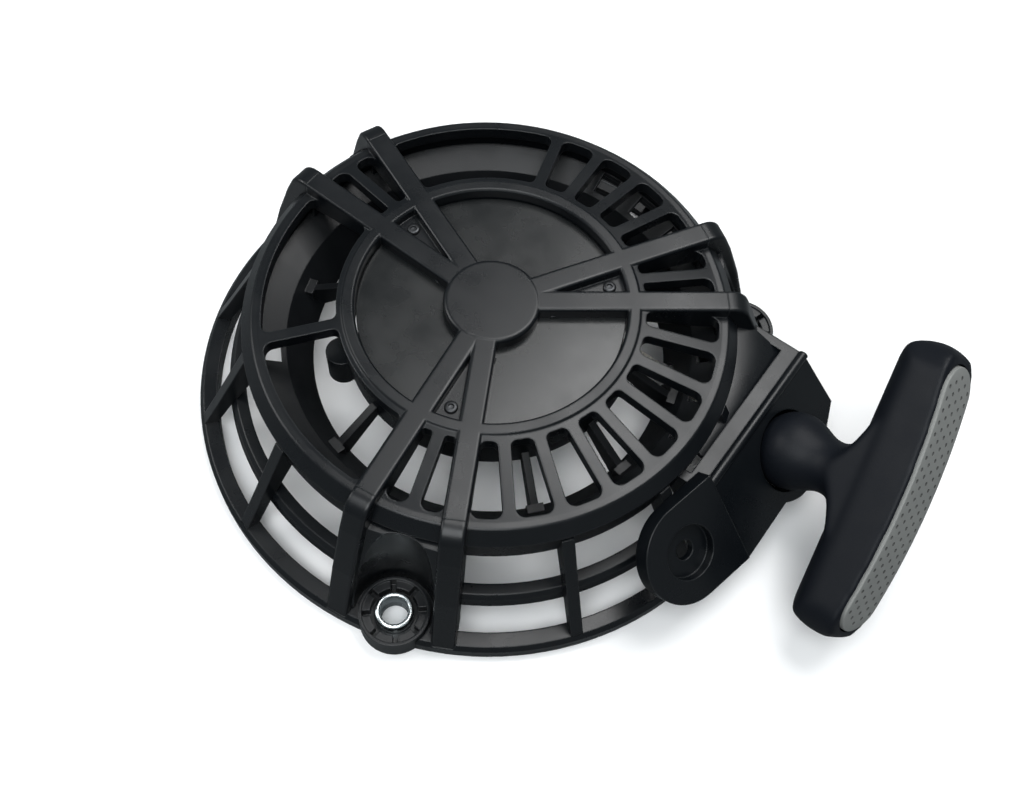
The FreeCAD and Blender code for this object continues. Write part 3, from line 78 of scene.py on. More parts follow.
class Groups:
    """Shader node groups that several finishes share. Each is built once, on first use."""

    EDGE_STARTS = 0.985
    EDGE_FULL = 0.86

    _built: dict[str, bpy.types.NodeTree] = {}

    @classmethod
    def _new(cls, name: str, inputs: dict[str, float], outputs: Sequence[str]) -> bpy.types.NodeTree:
        """Start an empty group.

        Args:
            name: the group's name.
            inputs: each number socket and its default.
            outputs: names of the outputs; Normal is a vector, any other is a number.

        Returns:
            The new node tree, with its input and output nodes named "in" and "out".
        """
        tree = bpy.data.node_groups.new(name, "ShaderNodeTree")
        for label, default in inputs.items():
            socket = tree.interface.new_socket(label, in_out="INPUT", socket_type="NodeSocketFloat")
            socket.default_value = default
        for label in outputs:
            kind = "NodeSocketVector" if label == "Normal" else "NodeSocketFloat"
            tree.interface.new_socket(label, in_out="OUTPUT", socket_type=kind)
        tree.nodes.new("NodeGroupInput").name = "in"
        tree.nodes.new("NodeGroupOutput").name = "out"
        cls._built[name] = tree
        return tree

    @classmethod
    def soft_edge(cls) -> bpy.types.NodeTree:
        """A normal that rounds sharp edges, and a broken mask along those edges.

        Returns:
            The group, with outputs Normal and Mask.
        """
        if "soft_edge" in cls._built:
            return cls._built["soft_edge"]
        tree = cls._new("soft_edge", {"Radius": 0.0005, "Breakup": 900.0, "Amount": 0.5}, ["Normal", "Mask"])
        nodes, links = tree.nodes, tree.links
        corner = nodes.new("ShaderNodeBevel")
        corner.samples = 6
        links.new(nodes["in"].outputs["Radius"], corner.inputs["Radius"])
        links.new(corner.outputs["Normal"], nodes["out"].inputs["Normal"])
        geometry = nodes.new("ShaderNodeNewGeometry")
        agreement = nodes.new("ShaderNodeVectorMath")
        agreement.operation = "DOT_PRODUCT"
        links.new(corner.outputs["Normal"], agreement.inputs[0])
        links.new(geometry.outputs["Normal"], agreement.inputs[1])
        edges = nodes.new("ShaderNodeMapRange")
        edges.inputs["From Min"].default_value = cls.EDGE_STARTS
        edges.inputs["From Max"].default_value = cls.EDGE_FULL
        links.new(agreement.outputs["Value"], edges.inputs["Value"])
        place = nodes.new("ShaderNodeTexCoord")
        noise = nodes.new("ShaderNodeTexNoise")
        noise.inputs["Detail"].default_value = 3.0
        links.new(place.outputs["Object"], noise.inputs["Vector"])
        links.new(nodes["in"].outputs["Breakup"], noise.inputs["Scale"])
        broken = nodes.new("ShaderNodeMath")
        broken.operation = "MULTIPLY"
        links.new(edges.outputs["Result"], broken.inputs[0])
        links.new(noise.outputs["Fac"], broken.inputs[1])
        scaled = nodes.new("ShaderNodeMath")
        scaled.operation = "MULTIPLY"
        scaled.use_clamp = True
        links.new(broken.outputs["Value"], scaled.inputs[0])
        links.new(nodes["in"].outputs["Amount"], scaled.inputs[1])
        links.new(scaled.outputs["Value"], nodes["out"].inputs["Mask"])
        return tree

    @classmethod
    def grain(cls) -> bpy.types.NodeTree:
        """Moulded or cast grain: a height for bump, and a slower mottle for gloss and colour.

        Returns:
            The group, with outputs Height and Mottle.
        """
        if "grain" in cls._built:
            return cls._built["grain"]
        tree = cls._new("grain", {"Fine": 2500.0, "Broad": 60.0}, ["Height", "Mottle"])
        nodes, links = tree.nodes, tree.links
        place = nodes.new("ShaderNodeTexCoord")
        fine = nodes.new("ShaderNodeTexNoise")
        fine.inputs["Detail"].default_value = 2.0
        broad = nodes.new("ShaderNodeTexNoise")
        broad.inputs["Detail"].default_value = 4.0
        broad.inputs["Roughness"].default_value = 0.6
        for noise, scale in ((fine, "Fine"), (broad, "Broad")):
            links.new(place.outputs["Object"], noise.inputs["Vector"])
            links.new(nodes["in"].outputs[scale], noise.inputs["Scale"])
        links.new(fine.outputs["Fac"], nodes["out"].inputs["Height"])
        links.new(broad.outputs["Fac"], nodes["out"].inputs["Mottle"])
        return tree


# ---------------------------------------------------------------- finishes


MOTTLE_RANGE = (0.3, 0.7)


@dataclass(frozen=True)
class Finish:
    """One material: colours, gloss, grain and wear.

    Colours are linear. Sizes of grain are noise scales, per metre.
    """

    name: str
    color: Color
    shade: Color
    wear: Color
    roughness: tuple[float, float] = (0.35, 0.5)
    metallic: float = 0.0
    fine: float = 2500.0
    broad: float = 60.0
    bump: float = 0.1
    bump_size: float = 0.0001
    edge_amount: float = 0.5
    edge_round: float = 0.0005
    specular: float = 0.5

    def build(self) -> bpy.types.Material:
        """Make the material.

        Returns:
            The new material, with its shader in the material itself.
        """
        material = bpy.data.materials.new(self.name)
        material.use_nodes = True
        nodes, links = material.node_tree.nodes, material.node_tree.links
        shader = nodes["Principled BSDF"]
        shader.inputs["Metallic"].default_value = self.metallic
        shader.inputs["Specular IOR Level"].default_value = self.specular
        grain = nodes.new("ShaderNodeGroup")
        grain.node_tree = Groups.grain()
        grain.inputs["Fine"].default_value = self.fine
        grain.inputs["Broad"].default_value = self.broad
        base = mix_color(nodes, links, grain.outputs["Mottle"], self.shade, self.color)
        gloss = nodes.new("ShaderNodeMapRange")
        gloss.inputs["From Min"].default_value, gloss.inputs["From Max"].default_value = MOTTLE_RANGE
        gloss.inputs["To Min"].default_value, gloss.inputs["To Max"].default_value = self.roughness
        links.new(grain.outputs["Mottle"], gloss.inputs["Value"])
        links.new(gloss.outputs["Result"], shader.inputs["Roughness"])
        bump = nodes.new("ShaderNodeBump")
        bump.inputs["Strength"].default_value = self.bump
        bump.inputs["Distance"].default_value = self.bump_size
        links.new(grain.outputs["Height"], bump.inputs["Height"])
        if self.edge_round > 0:
            edge = nodes.new("ShaderNodeGroup")
            edge.node_tree = Groups.soft_edge()
            edge.inputs["Radius"].default_value = self.edge_round
            edge.inputs["Amount"].default_value = self.edge_amount
            links.new(edge.outputs["Normal"], bump.inputs["Normal"])
            worn = nodes.new("ShaderNodeMix")
            worn.data_type = "RGBA"
            links.new(edge.outputs["Mask"], worn.inputs["Factor"])
            links.new(base, worn.inputs["A"])
            worn.inputs["B"].default_value = (*self.wear, 1.0)
            base = worn.outputs["Result"]
        links.new(base, shader.inputs["Base Color"])
        links.new(bump.outputs["Normal"], shader.inputs["Normal"])
        return material


def mix_color(
    nodes: bpy.types.Nodes,
    links: bpy.types.NodeLinks,
    factor: bpy.types.NodeSocket,
    low: Color,
    high: Color,
) -> bpy.types.NodeSocket:
    """Mix two colours by a varying factor.

    Args:
        nodes: the material's nodes.
        links: the material's links.
        factor: the socket that chooses between the colours.
        low: the colour where the factor is 0.
        high: the colour where the factor is 1.

    Returns:
        The socket that carries the mixed colour.
    """
    mix = nodes.new("ShaderNodeMix")
    mix.data_type = "RGBA"
    links.new(factor, mix.inputs["Factor"])
    mix.inputs["A"].default_value = (*low, 1.0)
    mix.inputs["B"].default_value = (*high, 1.0)
    return mix.outputs["Result"]


class Slot(Enum):
    """The record's material slots."""

    HOUSING = "housing_plastic"
    COVER = "cover_plastic"
    GUIDE = "guide_plastic"
    HANDLE = "handle_rubber"
    INSERT = "insert_plastic"
    ZINC = "zinc_steel"
    SCREW = "screw_steel"
    SPRING = "spring_steel"
    REEL = "reel_plastic"
    BUSH = "bush_bronze"
    ROPE = "rope_fibre"
    PAWL = "pawl_steel"


FINISHES: dict[Slot, Finish] = {
    Slot.HOUSING: Finish(
        "housing_plastic", (0.0036, 0.0047, 0.0060), (0.0024, 0.0033, 0.0045), (0.045, 0.05, 0.052),
        roughness=(0.24, 0.36), bump=0.10, edge_round=0.0006, edge_amount=0.5, specular=0.36,
    ),
    Slot.COVER: Finish(
        "cover_plastic", (0.0065, 0.0075, 0.008), (0.004, 0.005, 0.0055), (0.03, 0.032, 0.032),
        roughness=(0.17, 0.36), broad=38.0, bump=0.07, edge_round=0.0005, edge_amount=0.3, specular=0.45,
    ),
    Slot.GUIDE: Finish(
        "guide_plastic", (0.006, 0.007, 0.008), (0.004, 0.0045, 0.0055), (0.03, 0.032, 0.034),
        roughness=(0.3, 0.48), bump=0.25, specular=0.3,
    ),
    Slot.HANDLE: Finish(
        "handle_rubber", (0.0036, 0.0050, 0.0078), (0.0026, 0.0037, 0.0062), (0.02, 0.022, 0.028),
        roughness=(0.44, 0.56), bump=0.22, edge_round=0.0, specular=0.2,
    ),
    Slot.INSERT: Finish(
        "insert_plastic", (0.225, 0.230, 0.221), (0.185, 0.190, 0.184), (0.3, 0.3, 0.3),
        roughness=(0.48, 0.6), bump=0.2, edge_round=0.0, specular=0.35,
    ),
    Slot.ZINC: Finish(
        "zinc_steel", (0.80, 0.84, 0.85), (0.60, 0.66, 0.68), (0.92, 0.94, 0.94),
        roughness=(0.14, 0.30), metallic=1.0, broad=300.0, bump=0.08, edge_round=0.0003,
    ),
    Slot.SCREW: Finish(
        "screw_steel", (0.05, 0.052, 0.055), (0.03, 0.031, 0.033), (0.2, 0.2, 0.21),
        roughness=(0.28, 0.42), metallic=0.8, broad=300.0, edge_round=0.0,
    ),
    Slot.SPRING: Finish(
        "spring_steel", (0.30, 0.32, 0.36), (0.20, 0.21, 0.25), (0.5, 0.5, 0.52),
        roughness=(0.25, 0.4), metallic=1.0, broad=200.0, edge_round=0.0001,
    ),
    Slot.REEL: Finish(
        "reel_plastic", (0.022, 0.023, 0.026), (0.015, 0.016, 0.018), (0.07, 0.07, 0.075),
        roughness=(0.4, 0.55), bump=0.25, specular=0.35,
    ),
    Slot.BUSH: Finish(
        "bush_bronze", (0.55, 0.34, 0.15), (0.42, 0.25, 0.11), (0.7, 0.5, 0.25),
        roughness=(0.3, 0.45), metallic=1.0, broad=400.0, edge_round=0.0002,
    ),
    Slot.ROPE: Finish(
        "rope_fibre", (0.62, 0.60, 0.54), (0.50, 0.48, 0.43), (0.7, 0.68, 0.62),
        roughness=(0.75, 0.9), broad=500.0, bump=0.4, bump_size=0.0002, edge_round=0.0,
    ),
    Slot.PAWL: Finish(
        "pawl_steel", (0.42, 0.43, 0.46), (0.32, 0.33, 0.36), (0.6, 0.6, 0.62),
        roughness=(0.28, 0.42), metallic=1.0, broad=250.0, edge_round=0.0003,
    ),
}


DIMPLE_FINISH = Finish(
    "insert_dimple", (0.075, 0.077, 0.075), (0.055, 0.057, 0.055), (0.05, 0.05, 0.05),
    roughness=(0.55, 0.7), bump=0.2, edge_round=0.0, specular=0.2,
)


class Wardrobe:
    """Builds each finish once and puts it on pieces."""

    def __init__(self) -> None:
        """Start with nothing built."""
        self.materials: dict[Slot, bpy.types.Material] = {}

    def material(self, slot: Slot) -> bpy.types.Material:
        """The material of a slot, built on first use."""
        if slot not in self.materials:
            self.materials[slot] = FINISHES[slot].build()
        return self.materials[slot]

    def dress(self, piece: bpy.types.Object, slot: Slot) -> None:
        """Give a piece one material over all its faces.

        Args:
            piece: the piece to dress.
            slot: the slot whose finish it gets.
        """
        piece.data.materials.clear()
        piece.data.materials.append(self.material(slot))

    def dress_node(self, name: str, slot: Slot) -> None:
        """Put a finish on a CAD node's own slots, leaving its mesh alone.

        Args:
            name: the node's name.
            slot: the slot whose finish it gets.
        """
        node = frame["nodes"][name]
        if not node.material_slots:
            node.data.materials.append(None)
        for held in node.material_slots:
            held.material = self.material(slot)


# ---------------------------------------------------------------- bench


class Bench:
    """Modelling steps that the pieces share. Lengths are in millimetres in the piece's own axes."""

    WELD = 0.002

    @staticmethod
    def clear() -> None:
        """Leave edit mode and deselect everything."""
        if bpy.context.object is not None and bpy.context.object.mode != "OBJECT":
            bpy.ops.object.mode_set(mode="OBJECT")
        bpy.ops.object.select_all(action="DESELECT")

    @staticmethod
    def choose(piece: bpy.types.Object) -> None:
        """Make one piece the only selected and the active one.

        Args:
            piece: the piece to choose.
        """
        Bench.clear()
        piece.select_set(True)
        bpy.context.view_layer.objects.active = piece

    @staticmethod
    def rod(name: str, radius: float, ends: tuple[Point, Point], sides: int = 64) -> bpy.types.Object:
        """Add a cylinder between two points.

        Args:
            name: the piece's name.
            radius: its radius.
            ends: the centres of its two ends.
            sides: how many sides it has.

        Returns:
            The new piece, with its place in its mesh.
        """
        Bench.clear()
        start, end = (Vector(end) * MM for end in ends)
        turn = (end - start).to_track_quat("Z", "Y").to_euler()
        bpy.ops.mesh.primitive_cylinder_add(
            vertices=sides, radius=radius * MM, depth=(end - start).length,
            location=(start + end) / 2, rotation=turn,
        )
        return Bench.settle(name)

    @staticmethod
    def block(name: str, low: Point, high: Point) -> bpy.types.Object:
        """Add a box.

        Args:
            name: the piece's name.
            low: its lowest corner.
            high: its highest corner.

        Returns:
            The new piece, with its place in its mesh.
        """
        Bench.clear()
        low_corner, high_corner = Vector(low) * MM, Vector(high) * MM
        bpy.ops.mesh.primitive_cube_add(
            size=1.0, location=(low_corner + high_corner) / 2, scale=high_corner - low_corner,
        )
        return Bench.settle(name)

    @staticmethod
    def settle(name: str) -> bpy.types.Object:
        """Name the active piece and put its place, turn and size into its mesh.

        Args:
            name: the piece's new name.

        Returns:
            The piece.
        """
        piece = bpy.context.object
        piece.name = piece.data.name = name
        bpy.ops.object.transform_apply(location=True, rotation=True, scale=True)
        return piece

    @staticmethod
    def turned(name: str, outline: Sequence[tuple[float, float]], steps: int = 72) -> bpy.types.Object:
        """Spin an outline once round the Z axis.

        Args:
            name: the piece's name.
            outline: the outline's corners, as distance from the axis and height.
            steps: how many steps the turn has.

        Returns:
            The new closed piece.
        """
        Bench.clear()
        bpy.ops.mesh.primitive_plane_add(size=MM)
        piece = Bench.settle(name)
        bpy.ops.object.mode_set(mode="EDIT")
        bpy.ops.mesh.select_mode(type="VERT")
        bpy.ops.mesh.select_all(action="SELECT")
        bpy.ops.mesh.merge(type="CENTER")
        radius, height = outline[0]
        bpy.ops.transform.translate(value=(radius * MM, 0.0, height * MM))
        closed = radius > 0
        for (from_radius, from_height), (to_radius, to_height) in zip(outline, outline[1:]):
            step = ((to_radius - from_radius) * MM, 0.0, (to_height - from_height) * MM)
            bpy.ops.mesh.extrude_vertices_move(TRANSFORM_OT_translate={"value": step})
        bpy.ops.mesh.select_all(action="SELECT")
        if closed:
            bpy.ops.mesh.edge_face_add()
            bpy.ops.mesh.delete(type="ONLY_FACE")
            bpy.ops.mesh.select_all(action="SELECT")
        bpy.ops.mesh.spin(steps=steps, angle=math.tau, center=(0.0, 0.0, 0.0), axis=(0.0, 0.0, 1.0))
        bpy.ops.mesh.select_all(action="SELECT")
        bpy.ops.mesh.remove_doubles(threshold=Bench.WELD * MM)
        bpy.ops.mesh.normals_make_consistent(inside=False)
        bpy.ops.object.mode_set(mode="OBJECT")
        return piece

    @staticmethod
    def modify(piece: bpy.types.Object, kind: str, **settings: object) -> None:
        """Add a modifier, set it and apply it.

        Args:
            piece: the piece to change.
            kind: the modifier's type.
            settings: its settings, by name, in metres and radians.
        """
        Bench.choose(piece)
        modifier = piece.modifiers.new(kind.lower(), kind)
        for name, value in settings.items():
            setattr(modifier, name, value)
        bpy.ops.object.modifier_apply(modifier=modifier.name)

    @staticmethod
    def soften(piece: bpy.types.Object, width: float, segments: int) -> None:
        """Round a piece's sharp edges.

        Args:
            piece: the piece to change.
            width: how wide the rounding is.
            segments: how many facets it has.
        """
        limit = math.radians(50)
        Bench.modify(
            piece, "BEVEL", width=width * MM, segments=segments, limit_method="ANGLE", angle_limit=limit,
        )

    @staticmethod
    def carve(
        piece: bpy.types.Object, tool: bpy.types.Object, operation: str = "DIFFERENCE", **settings: object,
    ) -> None:
        """Combine a piece with a tool by a boolean, and throw the tool away.

        Args:
            piece: the piece to change.
            tool: the other piece, which is used up.
            operation: DIFFERENCE, UNION or INTERSECT.
            settings: more of the modifier's settings.
        """
        Bench.modify(piece, "BOOLEAN", object=tool, operation=operation, solver="EXACT", **settings)
        bpy.data.objects.remove(tool)

    @staticmethod
    def join(name: str, pieces: Sequence[bpy.types.Object]) -> bpy.types.Object:
        """Make several pieces one object.

        Args:
            name: the joined piece's name.
            pieces: the pieces; the first one stays and takes in the others.

        Returns:
            The joined piece.
        """
        Bench.clear()
        for piece in pieces:
            piece.select_set(True)
        bpy.context.view_layer.objects.active = pieces[0]
        bpy.ops.object.join()
        pieces[0].name = pieces[0].data.name = name
        return pieces[0]

    @staticmethod
    def place(piece: bpy.types.Object, matrix: Matrix) -> None:
        """Move a piece to its place, and put that place into its mesh.

        Args:
            piece: the piece to move.
            matrix: its place, in metres.
        """
        Bench.choose(piece)
        piece.matrix_world = matrix
        bpy.ops.object.transform_apply(location=True, rotation=True, scale=True)

    @staticmethod
    def copies(name: str, piece: bpy.types.Object, places: Sequence[Matrix]) -> bpy.types.Object:
        """Copy a piece to several places as one object, and throw the first one away.

        Args:
            name: the new object's name.
            piece: the piece to copy.
            places: where the copies go.

        Returns:
            The object that holds all the copies.
        """
        made = []
        for place in places:
            copy = piece.copy()
            copy.data = piece.data.copy()
            bpy.context.scene.collection.objects.link(copy)
            Bench.place(copy, place)
            made.append(copy)
        bpy.data.objects.remove(piece)
        return Bench.join(name, made)

    @staticmethod
    def smooth(piece: bpy.types.Object, angle: float = 35.0) -> None:
        """Shade a piece smooth, except across its sharp edges.

        Args:
            piece: the piece to shade.
            angle: edges sharper than this, in degrees, stay sharp.
        """
        Bench.choose(piece)
        bpy.ops.object.shade_smooth_by_angle(angle=math.radians(angle))


# ---------------------------------------------------------------- handle


@dataclass(frozen=True)
class HandleAxes:
    """The handle's own axes: X along the bar, Y across it and Z along the pull, in millimetres."""

    bar_roll: float = 38.0
    stop_middle: float = 30.6

    def matrix(self) -> Matrix:
        """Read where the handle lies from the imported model.

        Returns:
            The change from the handle's axes to the starter's, in metres.
        """
        joints = frame["record"]["behaviour"]["joints"]
        pull = next(Vector(joint["axis"]) for joint in joints if joint["name"] == "handle_pull")
        level = Vector((-pull.y, pull.x, 0.0)).normalized()
        roll = math.radians(self.bar_roll)
        bar = level * math.cos(roll) + pull.cross(level) * math.sin(roll)
        low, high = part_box("rope_stop")
        origin = (Vector(low) + Vector(high)) / 2 - pull * self.stop_middle * MM
        turn = Matrix((bar, pull.cross(bar), pull)).transposed().to_4x4()
        return Matrix.Translation(origin) @ turn


@dataclass
class Handle:
    """The T-handle: a rubber bar on a flared neck with a ball end, and its grip insert. In millimetres."""

    length: float = 86.8
    width: float = 19.0
    near: float = 22.0
    crest: float = 42.2
    corner: float = 10.0
    bow: float = 233.0
    neck_half: float = 8.7
    shoulder: float = 16.0
    bore: float = 2.5
    pocket_radius: float = 6.0
    pocket_floor: float = 30.0
    recess_length: float = 79.4
    recess_width: float = 17.0
    recess_floor: float = 39.4
    insert_length: float = 78.2
    insert_width: float = 15.8
    insert_crest: float = 42.9
    insert_edge: float = 0.45
    dimple_margin: float = 1.6
    dimple_radius: float = 0.66
    dimple_sink: float = 0.40
    dimple_step: float = 3.3
    dimple_rows: int = 5
    row_step: float = 2.9
    voxel: float = 0.75
    clearance: float = 8.0

    def drum(self, crest: float) -> bpy.types.Object:
        """A drum across the bar whose round gives a face its lengthwise bow.

        Args:
            crest: the level of the drum's highest line.

        Returns:
            The new piece.
        """
        middle = crest - self.bow
        reach = self.width + self.clearance
        return Bench.rod("drum", self.bow, ((0, -reach, middle), (0, reach, middle)), sides=720)

    def bar(self) -> bpy.types.Object:
        """The bar: round at the back, bowed along its face, with rounded ends.

        Returns:
            The new piece, in the handle's axes.
        """
        radius = self.width / 2
        half = self.length / 2
        middle = self.near + radius
        back = Bench.rod("bar_back", radius, ((-half, 0, middle), (half, 0, middle)), sides=96)
        front = Bench.block("bar_front", (-half, -radius, middle), (half, radius, self.crest))
        Bench.carve(back, front, "UNION")
        ends = Bench.block("bar_ends", (-half, -radius - 1, self.near), (half, radius + 1, self.crest))
        Bench.choose(ends)
        bpy.ops.object.mode_set(mode="EDIT")
        bpy.ops.mesh.select_mode(type="EDGE")
        bpy.ops.mesh.select_all(action="DESELECT")
        mesh = bmesh.from_edit_mesh(ends.data)
        for edge in mesh.edges:
            start, end = (vertex.co for vertex in edge.verts)
            edge.select = abs(start.y - end.y) > self.width * MM / 2
        bmesh.update_edit_mesh(ends.data)
        bpy.ops.mesh.bevel(offset=self.corner * MM, segments=16)
        bpy.ops.object.mode_set(mode="OBJECT")
        Bench.carve(back, ends, "INTERSECT")
        Bench.carve(back, self.drum(self.crest), "INTERSECT")
        heights = (self.near - 2, self.crest + self.clearance)
        plan = self.obround("bar_plan", self.length + 0.1, self.width + 0.1, heights)
        Bench.carve(back, plan, "INTERSECT")
        return back

    def neck(self) -> bpy.types.Object:
        """The ball, the neck and its flare into the bar, flattened at both sides above the shoulder.

        Returns:
            The new piece, in the handle's axes.
        """
        neck = Bench.turned("neck", [
            (0.0, -8.7), (3.0, -8.2), (6.0, -6.9), (8.6, -4.9), (10.5, -2.2), (11.5, 0.4), (11.75, 3.0),
            (11.3, 5.8), (10.2, 8.6), (8.9, 11.2), (8.1, 13.6), (7.9, 15.8), (8.3, 18.2), (9.6, 20.4),
            (12.0, 22.4), (15.4, 24.0), (19.0, 25.2), (19.0, 29.0), (0.0, 29.0),
        ])
        half, shoulder = self.neck_half, self.shoulder
        sides = Bench.block("neck_sides", (-22, -half, shoulder), (22, half, 30))
        ball = Bench.block("neck_ball", (-14, -14, -10), (14, 14, shoulder + 0.01))
        Bench.carve(sides, ball, "UNION")
        Bench.carve(neck, sides, "INTERSECT")
        return neck

    def obround(
        self, name: str, length: float, width: float, heights: tuple[float, float],
    ) -> bpy.types.Object:
        """A flat bar with round ends, along X: a short round pulled apart, then bowed along its length.

        Args:
            name: the piece's name.
            length: its whole length.
            width: its width.
            heights: its lowest and highest levels at the middle.

        Returns:
            The new piece, with both its faces bowed.
        """
        low, high = heights
        piece = Bench.rod(name, width / 2, ((0, 0, low), (0, 0, high)), sides=64)
        pull = (length - width) / 2 * MM
        Bench.choose(piece)
        bpy.ops.object.mode_set(mode="EDIT")
        bpy.ops.mesh.select_mode(type="VERT")
        slack = 0.01 * MM
        for side in (-1, 1):
            bpy.ops.mesh.select_all(action="DESELECT")
            mesh = bmesh.from_edit_mesh(piece.data)
            for vertex in mesh.verts:
                vertex.select = (vertex.co.x > -slack) == (side > 0)
            mesh.select_flush_mode()
            bmesh.update_edit_mesh(piece.data)
            bpy.ops.transform.translate(value=(pull * side, 0.0, 0.0))
        cuts = int(length / 2)
        for index in range(1, cuts):
            bpy.ops.mesh.select_all(action="SELECT")
            across = (index / cuts - 0.5) * length * MM
            bpy.ops.mesh.bisect(plane_co=(across, 0.0, 0.0), plane_no=(1.0, 0.0, 0.0))
        mesh = bmesh.from_edit_mesh(piece.data)
        for vertex in mesh.verts:
            vertex.co.z -= vertex.co.x ** 2 / (2 * self.bow * MM)
        bmesh.update_edit_mesh(piece.data)
        bpy.ops.object.mode_set(mode="OBJECT")
        return piece

    def build_shell(self, wardrobe: Wardrobe) -> bpy.types.Object:
        """Model the rubber body, dress it and give it the handle's motion.

        Args:
            wardrobe: the finishes.

        Returns:
            The finished piece, in place.
        """
        shell = Bench.join("handle_shell", [self.bar(), self.neck()])
        Bench.modify(shell, "REMESH", mode="VOXEL", voxel_size=self.voxel * MM)
        Bench.modify(shell, "SMOOTH", factor=0.5, iterations=18)
        heights = (self.recess_floor, self.crest + 6)
        Bench.carve(shell, self.obround("recess", self.recess_length, self.recess_width, heights))
        bore = Bench.rod("bore", self.bore, ((0, 0, -20), (0, 0, self.recess_floor)), sides=24)
        Bench.carve(shell, bore)
        ends = ((0, 0, self.pocket_floor), (0, 0, self.recess_floor + 1))
        Bench.carve(shell, Bench.rod("pocket", self.pocket_radius, ends, sides=32))
        Bench.smooth(shell)
        Bench.place(shell, HandleAxes().matrix())
        wardrobe.dress(shell, Slot.HANDLE)
        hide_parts("handle_body")
        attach(shell, "handle")
        return shell

    def build_insert(self, wardrobe: Wardrobe) -> bpy.types.Object:
        """Model the grip insert with its rows of dimples.

        Args:
            wardrobe: the finishes.

        Returns:
            The finished piece, in place.
        """
        heights = (self.recess_floor + 0.05, self.insert_crest)
        insert = self.obround("handle_insert", self.insert_length, self.insert_width, heights)
        Bench.soften(insert, self.insert_edge, 3)
        Bench.clear()
        bpy.ops.mesh.primitive_uv_sphere_add(segments=12, ring_count=8, radius=self.dimple_radius * MM)
        pin = Bench.settle("dimple_pin")
        places = []
        half = (self.insert_length - self.insert_width) / 2
        rounding = self.insert_width / 2 - self.dimple_margin
        most = math.ceil(self.insert_length / 2 / self.dimple_step)
        for row in range(self.dimple_rows):
            across = (row - (self.dimple_rows - 1) / 2) * self.row_step
            reach = half + math.sqrt(max(0.0, rounding ** 2 - across ** 2))
            shift = (row % 2) * self.dimple_step / 2
            for index in range(-most, most + 1):
                along = index * self.dimple_step + shift
                if abs(along) > reach:
                    continue
                up = self.insert_crest - along ** 2 / (2 * self.bow) + self.dimple_radius - self.dimple_sink
                places.append(Matrix.Translation(Vector((along, across, up)) * MM))
        pins = Bench.copies("dimple_pins", pin, places)
        wardrobe.dress(insert, Slot.INSERT)
        pins.data.materials.append(DIMPLE_FINISH.build())
        Bench.carve(insert, pins, material_mode="TRANSFER")
        Bench.smooth(insert, 30.0)
        Bench.place(insert, HandleAxes().matrix())
        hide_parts("grip_insert")
        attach(insert, "handle")
        return insert


# ---------------------------------------------------------------- rope guide


@dataclass
class GuideWeb:
    """The web that closes the gap between the skirt and the rope guide's strip. In millimetres."""

    skirt: float = 70.6
    strip: float = 74.0
    near: float = 2.0
    far: float = 45.4
    low: float = 31.4
    high: float = 33.4
    rise: float = 7.5
    edge: float = 0.3

    def build(self, wardrobe: Wardrobe) -> bpy.types.Object:
        """Model the web: a plate that rises to the skirt, with the skirt's round taken out of it.

        Args:
            wardrobe: the finishes.

        Returns:
            The finished piece, in place.
        """
        inner = (self.skirt * 0.75, self.near, self.low)
        web = Bench.block("guide_web", inner, (self.strip, self.far, self.high))
        for vertex in web.data.vertices:
            if vertex.co.x < self.skirt * MM:
                vertex.co.z += self.rise * MM
        ends = ((0, 0, self.low - 2), (0, 0, self.high + self.rise + 1.5))
        Bench.carve(web, Bench.rod("skirt_round", self.skirt, ends, sides=128))
        Bench.soften(web, self.edge, 2)
        Bench.smooth(web)
        wardrobe.dress(web, Slot.HOUSING)
        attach(web, "housing")
        return web


# ---------------------------------------------------------------- rope


